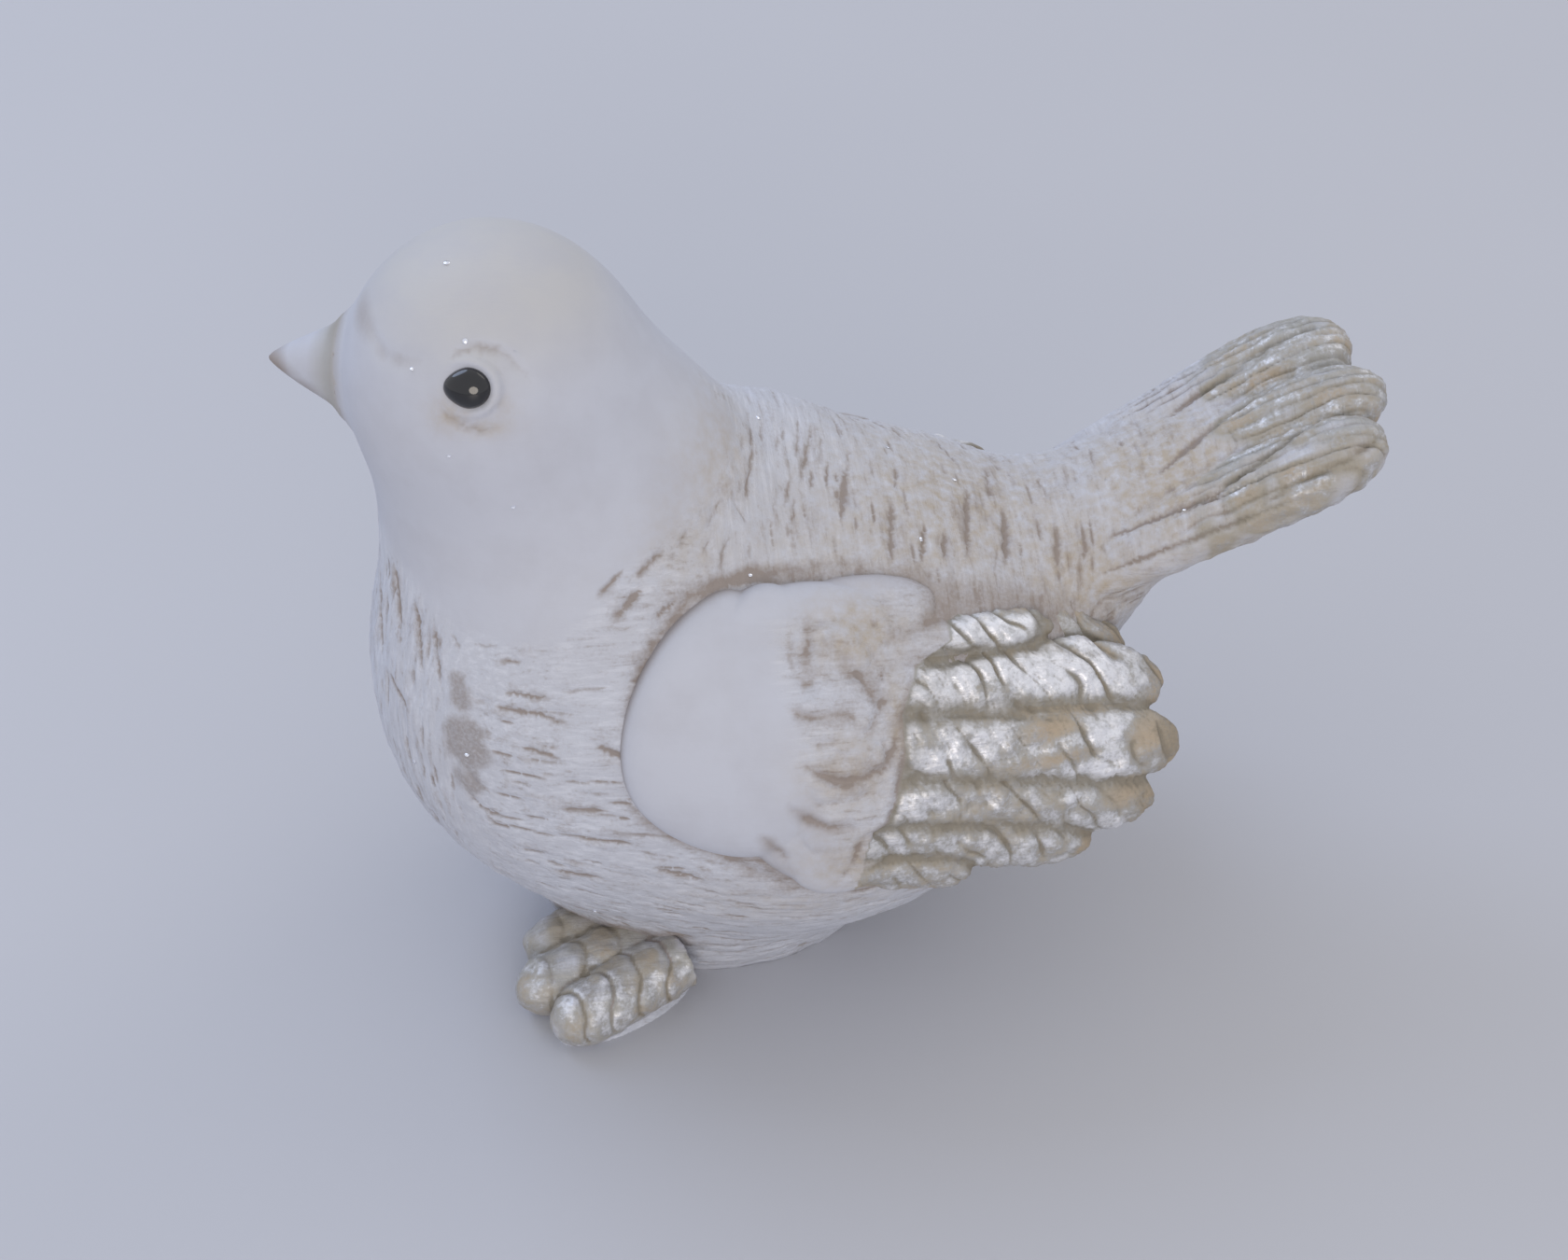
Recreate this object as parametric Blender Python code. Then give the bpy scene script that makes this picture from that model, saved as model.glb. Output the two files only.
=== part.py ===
"""A cast songbird figurine, one solid piece, standing on its feet and the flat under its breast.

The beak points to -X, the tail to +X, the bird's left side to -Y, and up is +Z. The figure is laid out in
shares of its own length: BIRD_LENGTH is 125 shares from the beak's tip to the tail's tip, and U is one of
them. Its origin is on the ground, under the middle of its box.
"""

import math

import bmesh
import bpy
import numpy as np
from mathutils import Matrix, Vector

# Driving dimensions, in metres
BIRD_LENGTH = 0.125
U = BIRD_LENGTH / 125

# Soft forms: the centre's place, the three half sizes, and the pitch in degrees, where minus lifts the rear
BELLY = {"at": (1.4, 0, 31.4), "radii": (33.5, 31.0, 29.1), "pitch": -17}
BREAST = {"at": (-20.8, 0, 36.5), "radii": (27.4, 25.5, 31.0), "pitch": -4}
NECK = {"at": (-24.4, 0, 60.5), "radii": (19.6, 16.0, 20.0), "pitch": -14}
SCRUFF = {"at": (-2.0, 7.0, 57.2), "radii": (8.0, 7.5, 7.0), "pitch": 10}
RUMP = {"at": (25.5, 0, 42.0), "radii": (17.5, 11.5, 10.0), "pitch": -24}
TAIL_ROOT = {"at": (43.0, 1.0, 52.8), "radii": (22.0, 11.0, 6.0), "pitch": -25}
BASE = {"at": (-9.4, 0, 5.0), "radii": (20.5, 17.5, 14.0), "pitch": 0}
WING_ROOT = {"at": (18.0, -15.5, 37.0), "radii": (15.0, 6.5, 11.0), "pitch": -8}
BLEND = 3.2 * U

# Head, turned a little to the bird's right
HEAD_CENTRE = (-31.7, 0, 77.4)
HEAD_RADIUS = 15.7 * U
HEAD_TURN = 18.0
BEAK_LIFT = -3.6
BEAK_SEAT_LIFT = -9.0
BEAK_REACH = 26.0 * U
BEAK_SEAT = 11.0 * U
BEAK_HALF_WIDTH = 6.6 * U
BEAK_HALF_HEIGHT = 7.6 * U
EYE_HALF_LENGTH = 3.3 * U
EYE_HALF_HEIGHT = 2.8 * U
EYE_BULGE = 1.95 * U
EYE_FROM_BEAK = 97.0
EYE_RISE = 24.0
EYELID_WIDTH = 0.8 * U
EYELID_BULGE = 0.8 * U

# Tail: three long lobes side by side, each with its root, tip, half width and half thickness
TAIL_LOBES = (
    {"root": (28.0, 7.0, 45.4), "tip": (68.0, 10.4, 66.6), "half_width": 8.2, "half_thickness": 5.0},
    {"root": (28.0, 0.0, 47.0), "tip": (69.3, 0.0, 66.2), "half_width": 6.5, "half_thickness": 5.2},
    {"root": (28.0, -6.5, 46.0), "tip": (66.8, -8.6, 65.2), "half_width": 6.7, "half_thickness": 4.8},
)

# Wing pads on the flank: the centre and half sizes as a share of the belly's half length and in degrees
# down from the top, and the lift off the flank
WING_PADS = (
    {"centre": (-0.21, 56), "half": (0.35, 30), "lift": 2.8},
    {"centre": (0.04, 67), "half": (0.34, 36), "lift": 1.9},
    {"centre": (0.26, 42), "half": (0.30, 10), "lift": 1.2},
)
COVERTS = (
    {"centre": (0.00, 93), "half": (0.17, 9), "lift": 2.2},
    {"centre": (0.06, 82), "half": (0.17, 8), "lift": 2.5},
    {"centre": (0.10, 70), "half": (0.17, 8), "lift": 2.7},
    {"centre": (0.14, 58), "half": (0.17, 8), "lift": 2.8},
    {"centre": (0.18, 47), "half": (0.16, 8), "lift": 2.6},
)

# Flight feathers: the root on the flank, the tip, the half width and the half thickness
FLIGHT_FEATHERS = (
    {"root": (0.36, 46), "tip": (37.2, -15.0, 42.4), "half_width": 5.0, "half_thickness": 2.1},
    {"root": (0.30, 50), "tip": (27.5, -17.5, 49.4), "half_width": 2.8, "half_thickness": 2.2},
    {"root": (0.26, 57), "tip": (40.6, -19.0, 40.6), "half_width": 5.6, "half_thickness": 2.6},
    {"root": (0.22, 69), "tip": (41.8, -23.0, 35.0), "half_width": 5.6, "half_thickness": 2.7},
    {"root": (0.17, 80), "tip": (39.2, -25.0, 28.9), "half_width": 5.0, "half_thickness": 2.7},
    {"root": (0.12, 89), "tip": (31.5, -27.0, 25.8), "half_width": 4.4, "half_thickness": 2.5},
    {"root": (0.05, 97), "tip": (17.5, -29.5, 25.6), "half_width": 3.6, "half_thickness": 2.3},
)
FEATHER_LIFT = -0.4 * U

# The right wing lies a little lower than the left one, and more so towards its tip: degrees down the flank,
# degrees more over the belly's half length, and the drop of the feather tips
RIGHT_WING_DROP = 4.0
RIGHT_WING_TILT = 22.0
RIGHT_WING_SAG = 1.5 * U

# Feet: three front toes, each with its heel and tip on the ground and its thickness
TOES = (
    {"heel": (-15.0, -18.9), "tip": (-30.8, -27.3), "half_width": 4.3},
    {"heel": (-17.0, -15.0), "tip": (-34.8, -21.4), "half_width": 4.3},
    {"heel": (-17.0, -10.5), "tip": (-33.4, -14.4), "half_width": 4.2},
)
TOE_RINGS = 5
TOE_RING_DEPTH = 0.07
TOE_HALF_HEIGHT = 4.2 * U
TOE_HEIGHT = 3.0 * U
HEEL_HEIGHT = 4.8 * U
TOE_STATIONS = 40

# How finely the cast is cut
CLAY_VOXEL = 1.0 * U
CLAY_SMOOTHING = 2
BLEND_STEPS = 12
BLEND_PACE = 0.6
CAST_VOXEL = 0.7 * U
CAST_SMOOTHING = 2
CAST_TRIANGLES = 9600
LOFT_SIDES = 20
LOFT_STATIONS = 14
PAD_RINGS = 8
PAD_STEPS = 40
PAD_DEPTH = 3.0 * U


def shares(point):
    """A point or a size given in shares of the length, in metres."""
    return Vector(point) * U


def turned(pitch):
    return Matrix.Rotation(math.radians(pitch), 4, "Y")


def facing(along, normal):
    """The turn that lays local X along one direction and local Z as near as it can to a normal."""
    x = along.normalized()
    y = normal.cross(x).normalized()
    z = x.cross(y)
    return Matrix((x, y, z)).transposed().to_4x4()


def mirrored(point, side):
    """A left-side point (side -1), or its twin on the right (side 1)."""
    return Vector((point[0], -side * point[1], point[2]))


def add_ellipsoid(form, centre, radii, turn):
    bmesh.ops.create_uvsphere(
        form,
        u_segments=round(LOFT_SIDES * 2),
        v_segments=round(LOFT_SIDES),
        radius=1.0,
        matrix=Matrix.Translation(centre) @ turn @ Matrix.Diagonal((*radii, 1.0)),
    )


def add_rings(form, rings, first, last):
    """A closed skin over rings of points, with a fan at each end."""
    rows = [[form.verts.new(point) for point in ring] for ring in rings]
    for row, after in zip(rows, rows[1:]):
        for i in range(len(row)):
            j = (i + 1) % len(row)
            form.faces.new((row[i], row[j], after[j], after[i]))
    for row, end in ((rows[0][::-1], first), (rows[-1], last)):
        tip = form.verts.new(end)
        for i in range(len(row)):
            form.faces.new((row[i], row[(i + 1) % len(row)], tip))


def add_loft(form, start, end, normal, half_width, half_thickness, width_at, stations=LOFT_STATIONS):
    """A lofted form from start to end, its section an ellipse that width_at scales along the way."""
    turn = facing(end - start, normal)
    across = turn.to_3x3().col[1]
    up = turn.to_3x3().col[2]
    stations = round(stations)
    sides = round(LOFT_SIDES)
    rings = []
    for i in range(stations):
        t = math.sin(math.pi / 2 * (i + 0.5) / stations)
        centre = start.lerp(end, t)
        scale = width_at(t)
        ring = []
        for k in range(sides):
            a = 2 * math.pi * k / sides
            reach = across * half_width * math.cos(a) + up * half_thickness * math.sin(a)
            ring.append(centre + reach * scale)
        rings.append(ring)
    add_rings(form, rings, start, end)


def blade_width(t):
    """Full width for most of the way, then a round end."""
    return (0.92 + 0.08 * math.sin(math.pi * t)) * math.sqrt(max(0.0, 1 - t ** 8))


def lobe_width(t):
    return (0.8 + 0.2 * t) * math.sqrt(max(0.0, 1 - t ** 9))


def beak_width(t):
    return (1 - t) ** 0.8


def toe_width(t):
    """Shallow rings round the toe and a round end."""
    rings = 1 - TOE_RING_DEPTH * (1 + math.cos(2 * math.pi * TOE_RINGS * t))
    return rings * math.sqrt(max(0.0, 1 - t ** 8))


def flank(along, angle, lift, side):
    """Points lifted off the body, by a share of the belly's half length and degrees down its side, and the
    body's normals there.
    """
    radii = np.array(shares(BELLY["radii"]))
    ring = np.sqrt(np.maximum(0.0, 1 - along ** 2))
    if side > 0:
        angle = angle + RIGHT_WING_DROP + RIGHT_WING_TILT * along
    a = np.radians(angle)
    local = np.stack((along, side * ring * np.sin(a), ring * np.cos(a)), axis=1) * radii
    points = np.array(shares(BELLY["at"])) + local @ np.array(turned(BELLY["pitch"]).to_3x3()).T
    for step in range(round(BLEND_STEPS)):
        distance, slope = blended(points, soft_forms())
        points -= slope * (distance / (slope ** 2).sum(axis=1))[:, None]
    normals = slope / np.linalg.norm(slope, axis=1)[:, None]
    return points + normals * np.reshape(lift, (-1, 1)), normals


def add_pad(form, pad, side):
    """A pad that lies on the flank, domed, with a steep rim and its back inside the body."""
    rings = round(PAD_RINGS)
    steps = round(PAD_STEPS)
    stations = [(k / rings, 1.0) for k in range(1, rings)] + [(1.0, 1.0), (1.0, -1.0), (0.5, -1.0)]
    stations = [(0.0, 1.0)] + stations + [(0.0, -1.0)]
    reach, face = np.repeat(np.array(stations), steps, axis=0).T
    a = -side * np.tile(np.arange(steps), len(stations)) * 2 * math.pi / steps
    along = pad["centre"][0] + pad["half"][0] * reach * np.cos(a)
    angle = pad["centre"][1] + pad["half"][1] * reach * np.sin(a)
    lift = np.where(face > 0, pad["lift"] * U * np.sqrt(1 - reach ** 5), -PAD_DEPTH)
    points = flank(along, angle, lift, side)[0].reshape(len(stations), steps, 3)
    add_rings(form, points[1:-1], points[0][0], points[-1][0])


def add_flight_feather(form, feather, side):
    points, normals = flank(*np.array([feather["root"]]).T, FEATHER_LIFT, side)
    root = Vector(points[0])
    normal = Vector(normals[0])
    tip = mirrored(shares(feather["tip"]), side)
    if side > 0:
        tip.z -= RIGHT_WING_SAG
    half_width = feather["half_width"] * U
    add_loft(form, root, tip, normal, half_width, feather["half_thickness"] * U, blade_width)


def add_wing(form, side):
    for pad in WING_PADS + COVERTS:
        add_pad(form, pad, side)
    for feather in FLIGHT_FEATHERS:
        add_flight_feather(form, feather, side)


def add_tail(form):
    for lobe in TAIL_LOBES:
        add_loft(
            form,
            shares(lobe["root"]),
            shares(lobe["tip"]),
            Vector((0, 0, 1)),
            lobe["half_width"] * U,
            lobe["half_thickness"] * U,
            lobe_width,
        )


def add_foot(form, side):
    up = Vector((0, 0, 1))
    for toe in TOES:
        heel = mirrored(shares((*toe["heel"], 0)), side) + up * HEEL_HEIGHT
        tip = mirrored(shares((*toe["tip"], 0)), side) + up * TOE_HEIGHT
        add_loft(form, heel, tip, up, toe["half_width"] * U, TOE_HALF_HEIGHT, toe_width, TOE_STATIONS)


def head_point(yaw, rise, distance):
    """A point off the head's centre, by degrees from the beak's side (plus to the bird's left) and up."""
    a = math.radians(180 - HEAD_TURN + yaw)
    b = math.radians(rise)
    direction = Vector((math.cos(a) * math.cos(b), math.sin(a) * math.cos(b), math.sin(b)))
    return shares(HEAD_CENTRE) + direction * distance, direction


def add_face(form):
    seat, forward = head_point(0, BEAK_SEAT_LIFT, BEAK_SEAT)
    tip, forward = head_point(0, BEAK_LIFT, BEAK_REACH)
    add_loft(form, seat, tip, Vector((0, 0, 1)), BEAK_HALF_WIDTH, BEAK_HALF_HEIGHT, beak_width)
    for side in (1, -1):
        centre, outward = head_point(side * EYE_FROM_BEAK, EYE_RISE, HEAD_RADIUS)
        turn = facing(forward, outward)
        lid = (EYE_HALF_LENGTH + EYELID_WIDTH, EYE_HALF_HEIGHT + EYELID_WIDTH, EYELID_BULGE)
        add_ellipsoid(form, centre, lid, turn)
        add_ellipsoid(form, centre, (EYE_HALF_LENGTH, EYE_HALF_HEIGHT, EYE_BULGE), turn)


def new_bird(form):
    mesh = bpy.data.meshes.new("bird")
    form.to_mesh(mesh)
    form.free()
    bird = bpy.data.objects.new("bird", mesh)
    bpy.context.scene.collection.objects.link(bird)
    return bird


def add_remesh(bird, voxel, smoothing):
    remesh = bird.modifiers.new("union", "REMESH")
    remesh.mode = "VOXEL"
    remesh.voxel_size = voxel
    smooth = bird.modifiers.new("soften", "SMOOTH")
    smooth.factor = 0.5
    smooth.iterations = round(smoothing)


def baked(bird):
    """A copy of the object's mesh with its modifiers in effect."""
    graph = bpy.context.evaluated_depsgraph_get()
    return bpy.data.meshes.new_from_object(bird.evaluated_get(graph))


def clear_scene():
    for old in list(bpy.data.objects):
        bpy.data.objects.remove(old, do_unlink=True)


def soft_forms():
    """The centre, half sizes and turn of each soft form."""
    forms = []
    for spec in (BELLY, BREAST, NECK, SCRUFF, RUMP, TAIL_ROOT, BASE, WING_ROOT):
        forms.append((shares(spec["at"]), shares(spec["radii"]), turned(spec["pitch"])))
    twin = mirrored(forms[-1][0], 1)
    forms.append((twin, *forms[-1][1:]))
    forms.append((shares(HEAD_CENTRE), Vector((HEAD_RADIUS,) * 3), turned(0)))
    return forms


def blended(points, forms):
    """How far each point stands off the soft forms run together, and the slope of that distance."""
    weights = np.zeros(len(points))
    slope = np.zeros_like(points)
    for centre, radii, turn in forms:
        turn = np.array(turn.to_3x3())
        radii = np.array(radii)
        local = (points - np.array(centre)) @ turn
        near = np.linalg.norm(local / radii, axis=1)
        rate = np.linalg.norm(local / radii ** 2, axis=1)
        distance = near * (near - 1) / rate
        weight = np.exp(np.minimum(-distance / BLEND, 60))
        slope += (weight / rate)[:, None] * ((local / radii ** 2) @ turn.T)
        weights += weight
    return -BLEND * np.log(weights), slope / weights[:, None]


def blend(mesh, forms):
    """Move a mesh's points onto the soft forms run together."""
    points = np.empty(len(mesh.vertices) * 3)
    mesh.vertices.foreach_get("co", points)
    points = points.reshape(-1, 3)
    for step in range(round(BLEND_STEPS)):
        distance, slope = blended(points, forms)
        points -= slope * (distance / (slope ** 2).sum(axis=1))[:, None] * BLEND_PACE
    mesh.vertices.foreach_set("co", points.ravel())
    mesh.update()


def soft_body():
    """The plump body and round head, run together as soft clay."""
    form = bmesh.new()
    for centre, radii, turn in soft_forms():
        add_ellipsoid(form, centre, radii, turn)
    clay = new_bird(form)
    add_remesh(clay, CLAY_VOXEL, CLAY_SMOOTHING)
    mesh = baked(clay)
    bpy.data.objects.remove(clay, do_unlink=True)
    blend(mesh, soft_forms())
    return mesh


def thinned(bird):
    """Fewer faces, of the same shape."""
    count = sum(len(face.vertices) - 2 for face in bird.data.polygons)
    thin = bird.modifiers.new("thin", "DECIMATE")
    thin.ratio = CAST_TRIANGLES / count


def flatten_underside(bird):
    """Cut the figure off level with the ground and close the cut."""
    form = bmesh.new()
    form.from_mesh(bird.data)
    cut = bmesh.ops.bisect_plane(
        form,
        geom=form.verts[:] + form.edges[:] + form.faces[:],
        plane_co=(0, 0, 0),
        plane_no=(0, 0, 1),
        clear_inner=True,
    )
    rim = [item for item in cut["geom_cut"] if isinstance(item, bmesh.types.BMEdge)]
    bmesh.ops.holes_fill(form, edges=rim, sides=0)
    bmesh.ops.triangulate(form, faces=form.faces[:])
    form.to_mesh(bird.data)
    form.free()


def centre_on_ground(bird):
    corners = [vertex.co for vertex in bird.data.vertices]
    middle_x = (min(c.x for c in corners) + max(c.x for c in corners)) / 2
    middle_y = (min(c.y for c in corners) + max(c.y for c in corners)) / 2
    bird.data.transform(Matrix.Translation((-middle_x, -middle_y, 0)))


def resin_paint():
    paint = bpy.data.materials.new("painted_resin")
    paint.use_nodes = True
    shader = paint.node_tree.nodes["Principled BSDF"]
    shader.inputs["Base Color"].default_value = (0.47, 0.47, 0.48, 1)
    shader.inputs["Roughness"].default_value = 0.55
    shader.inputs["Metallic"].default_value = 0.0
    return paint


def main():
    clear_scene()
    form = bmesh.new()
    form.from_mesh(soft_body())
    add_face(form)
    add_tail(form)
    for side in (-1, 1):
        add_wing(form, side)
        add_foot(form, side)
    bird = new_bird(form)
    add_remesh(bird, CAST_VOXEL, CAST_SMOOTHING)
    bird.data = baked(bird)
    bird.modifiers.clear()
    thinned(bird)
    bird.data = baked(bird)
    bird.modifiers.clear()
    flatten_underside(bird)
    centre_on_ground(bird)
    bird.data.materials.append(resin_paint())


main()
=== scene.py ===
import math
from functools import partial

import bpy
import numpy as np
from mathutils import Matrix, Vector, kdtree


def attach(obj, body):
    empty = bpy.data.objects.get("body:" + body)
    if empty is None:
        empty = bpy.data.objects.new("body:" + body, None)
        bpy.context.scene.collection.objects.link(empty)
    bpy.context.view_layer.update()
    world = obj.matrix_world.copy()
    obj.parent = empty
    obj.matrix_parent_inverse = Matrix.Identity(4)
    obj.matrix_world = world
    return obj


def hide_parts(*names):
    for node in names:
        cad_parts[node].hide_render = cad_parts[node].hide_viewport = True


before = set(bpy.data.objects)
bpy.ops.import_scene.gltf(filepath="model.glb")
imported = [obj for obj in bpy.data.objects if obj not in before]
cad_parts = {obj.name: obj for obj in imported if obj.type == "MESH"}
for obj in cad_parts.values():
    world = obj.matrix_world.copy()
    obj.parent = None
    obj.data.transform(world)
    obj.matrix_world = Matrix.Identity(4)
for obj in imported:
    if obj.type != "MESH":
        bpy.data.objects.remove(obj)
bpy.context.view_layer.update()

mm = 0.001
toRow = (-7.0, 0.0, 0.0)  # mm: the bird is laid out from under its chest, the row from under its box's middle
rng = np.random.default_rng(11)
print("frame loaded")


# small helpers for meshes, all in mm

def clearSelection():
    if bpy.context.object and bpy.context.object.mode != "OBJECT":
        bpy.ops.object.mode_set(mode="OBJECT")
    bpy.ops.object.select_all(action="DESELECT")


def makeActive(piece):
    clearSelection()
    piece.select_set(True)
    bpy.context.view_layer.objects.active = piece


def editWhole(piece):
    makeActive(piece)
    bpy.ops.object.mode_set(mode="EDIT")
    bpy.ops.mesh.select_all(action="SELECT")


def settle(piece, at, turn, size=(1, 1, 1)):
    makeActive(piece)
    move = Matrix.Translation(Vector(at) * mm) @ turn @ Matrix.Diagonal((*size, 1))
    piece.matrix_world = move @ piece.matrix_world
    bpy.ops.object.transform_apply(location=True, rotation=True, scale=True)
    return piece


def addBall(at, radii, turn, rings=28):
    clearSelection()
    bpy.ops.mesh.primitive_uv_sphere_add(segments=rings * 2, ring_count=rings, radius=mm)
    return settle(bpy.context.object, at, turn, radii)


def joinPieces(name, parts):
    clearSelection()
    for part in parts:
        part.select_set(True)
    bpy.context.view_layer.objects.active = parts[0]
    bpy.ops.object.join()
    parts[0].name = name
    parts[0].data.name = name
    return parts[0]


def applyModifier(piece, kind, **settings):
    makeActive(piece)
    modifier = piece.modifiers.new(kind, kind)
    for key, value in settings.items():
        setattr(modifier, key, value)
    bpy.ops.object.modifier_apply(modifier=modifier.name)


def fuse(piece, voxel, smoothing):
    applyModifier(piece, "REMESH", mode="VOXEL", voxel_size=voxel * mm)
    applyModifier(piece, "SMOOTH", factor=0.5, iterations=smoothing)


def readPoints(mesh):
    points = np.empty(len(mesh.vertices) * 3)
    mesh.vertices.foreach_get("co", points)
    return points.reshape(-1, 3) / mm


def writePoints(mesh, points):
    mesh.vertices.foreach_set("co", (points * mm).ravel())
    mesh.update()


def readNormals(mesh):
    normals = np.empty(len(mesh.vertices) * 3)
    mesh.vertex_normals.foreach_get("vector", normals)
    return normals.reshape(-1, 3)


def surface(mesh):
    return readPoints(mesh), readNormals(mesh)


def evened(values, mesh, rounds):  # each value drawn to the middle of its neighbours
    edges = np.empty(len(mesh.edges) * 2, dtype=np.int64)
    mesh.edges.foreach_get("vertices", edges)
    a, b = edges.reshape(-1, 2).T
    count = np.bincount(np.concatenate((a, b)), minlength=len(values))
    values = values.reshape(len(values), -1).copy()
    for step in range(rounds):
        for k in range(values.shape[1]):
            sums = np.bincount(a, values[b, k], len(values)) + np.bincount(b, values[a, k], len(values))
            values[:, k] = 0.5 * values[:, k] + 0.5 * sums / np.maximum(count, 1)
    return values.squeeze()


def hollows(mesh, points, normals, rounds, depth):  # 1 in a crease that deep in mm, -1 on a ridge
    return np.clip(((evened(points, mesh, rounds) - points) * normals).sum(axis=1) / depth, -1, 1)


def keepMasks(mesh, **masks):  # for the paint, one value for each point
    for name, values in masks.items():
        mask = mesh.attributes.get(name) or mesh.attributes.new(name, "FLOAT", "POINT")
        mask.data.foreach_set("value", np.asarray(values, dtype=np.float32))


def lighten(piece, triangles):
    count = len(piece.data.polygons) * 2
    applyModifier(piece, "DECIMATE", ratio=min(1.0, triangles / count))
    print(piece.name, count, "->", len(piece.data.polygons))


def treeOf(points):
    tree = kdtree.KDTree(len(points))
    for index, point in enumerate(points):
        tree.insert(point, index)
    tree.balance()
    return tree


def lumps(points, size, seed):  # smooth random values from -1 to 1, with lumps of about that many mm
    cell = points / size + seed * 7.31
    corner = np.floor(cell).astype(np.int64)
    part = cell - corner
    part = part * part * (3 - 2 * part)
    total = np.zeros(len(points))
    for offset in np.ndindex(2, 2, 2):
        x, y, z = (corner + offset).T
        mixed = (x * 73856093) ^ (y * 19349663) ^ (z * 83492791) ^ (seed * 2654435)
        mixed = (mixed ^ (mixed >> 13)) * 1274126177 & 0x7FFFFFFF
        share = np.where(offset, part, 1 - part).prod(axis=1)
        total += share * (mixed / 0x3FFFFFFF - 1)
    return total


def ramp(values, low, high):
    t = np.clip((values - low) / (high - low), 0, 1)
    return t * t * (3 - 2 * t)


def bell(values, width):
    return np.exp(-(values / width) ** 2)


def spots(points, places):  # soft spots: place, reach in mm and strength
    total = np.zeros(len(points))
    for at, reach, strength in places:
        offset = points - np.array(at)
        total = np.maximum(total, strength * np.exp(-((offset / np.array(reach)) ** 2).sum(axis=1)))
    return total


def facing(along, normal):  # turns x along, and z as near the normal as it can be
    x = along.normalized()
    y = normal.cross(x).normalized()
    return Matrix((x, y, x.cross(y))).transposed().to_4x4()


def mirrored(point, side):  # a left-side point (side -1), or its twin on the right (side 1)
    return (point[0], -side * point[1], point[2])


# the body as soft clay

body = {
    # middle and half sizes in mm, and pitch in degrees, where minus lifts the rear
    "forms": (
        ((1.4, 0, 31.4), (33.5, 31.0, 29.1), -17),      # belly
        ((-20.8, 0, 36.5), (27.4, 25.5, 31.0), -4),     # breast
        ((-24.4, 0, 60.5), (19.6, 16.0, 20.0), -14),    # neck
        ((-2.0, 7.0, 57.2), (8.0, 7.5, 7.0), 10),       # scruff behind the nape
        ((25.5, 0, 42.0), (17.5, 11.5, 10.0), -24),     # rump
        ((43.0, 1.0, 52.8), (22.0, 11.0, 6.0), -25),    # tail root
        ((-9.4, 0, 5.0), (20.5, 17.5, 14.0), 0),        # base
        ((18.0, -15.5, 37.0), (15.0, 6.5, 11.0), -8),   # flesh under the left wing
        ((18.0, 15.5, 37.0), (15.0, 6.5, 11.0), -8),    # and under the right one
        ((-31.7, 0, 77.4), (15.7, 15.7, 15.7), 0),      # head
    ),
    "blend": 3.2,
    "rightDrop": 4.0,   # degrees that the right wing lies lower
    "rightTilt": 22.0,  # and degrees more over the belly's half length
    "clay": 0.8,        # voxel of the first clay, mm
    "voxel": 0.31,      # voxel of the finished cast
    "triangles": 190000,
}
turns = [Matrix.Rotation(math.radians(pitch), 4, "Y") for at, radii, pitch in body["forms"]]


def blended(points):  # how far each point stands off the forms run together, and the slope of that distance
    weights = np.zeros(len(points))
    slope = np.zeros_like(points)
    for (at, radii, pitch), turn in zip(body["forms"], turns):
        turn = np.array(turn.to_3x3())
        radii = np.array(radii)
        local = (points - np.array(at)) @ turn
        near = np.linalg.norm(local / radii, axis=1)
        rate = np.linalg.norm(local / radii ** 2, axis=1)
        weight = np.exp(np.minimum(-near * (near - 1) / rate / body["blend"], 60))
        slope += (weight / rate)[:, None] * ((local / radii ** 2) @ turn.T)
        weights += weight
    return -body["blend"] * np.log(weights), slope / weights[:, None]


def ontoBody(points, share=1.0, steps=12):
    for step in range(steps):
        distance, slope = blended(points)
        points = points - share * slope * (distance / (slope ** 2).sum(axis=1))[:, None]
    return points, slope / np.linalg.norm(slope, axis=1)[:, None]


# a place on the body, by a share of the belly's half length, degrees down its side and mm off it
def flank(along, angle, lift, side):
    at, radii, pitch = body["forms"][0]
    if side > 0:
        angle = angle + body["rightDrop"] + body["rightTilt"] * along
    ring = np.sqrt(np.maximum(0.0, 1 - along ** 2))
    a = np.radians(angle)
    local = np.stack((along, side * ring * np.sin(a), ring * np.cos(a)), axis=1) * np.array(radii)
    points, normals = ontoBody(np.array(at) + local @ np.array(turns[0].to_3x3()).T)
    return points + normals * np.reshape(lift, (-1, 1)), normals


def flankPlace(points):  # the other way round: share along and degrees down
    at, radii, pitch = body["forms"][0]
    local = (points - np.array(at)) @ np.array(turns[0].to_3x3()) / np.array(radii)
    local /= np.linalg.norm(local, axis=1)[:, None]
    down = np.degrees(np.arctan2(np.abs(local[:, 1]), local[:, 2]))
    return local[:, 0], down - (local[:, 1] > 0) * (body["rightDrop"] + body["rightTilt"] * local[:, 0])


# lofts, extruded ring by ring: feathers, tail lobes, toes and the beak

def bladeWidth(t):
    return (0.92 + 0.08 * np.sin(np.pi * t)) * np.sqrt(np.maximum(0, 1 - t ** 8))


def lobeWidth(t):
    return (0.8 + 0.2 * t) * np.sqrt(np.maximum(0, 1 - t ** 9))


def beakWidth(t):
    return np.maximum(0, 1 - t) ** 0.8


def toeWidth(t):
    return (0.93 + 0.02 * np.cos(2 * np.pi * 5 * t) + 0.03 * t) * np.sqrt(np.maximum(0, 1 - t ** 8))


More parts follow.
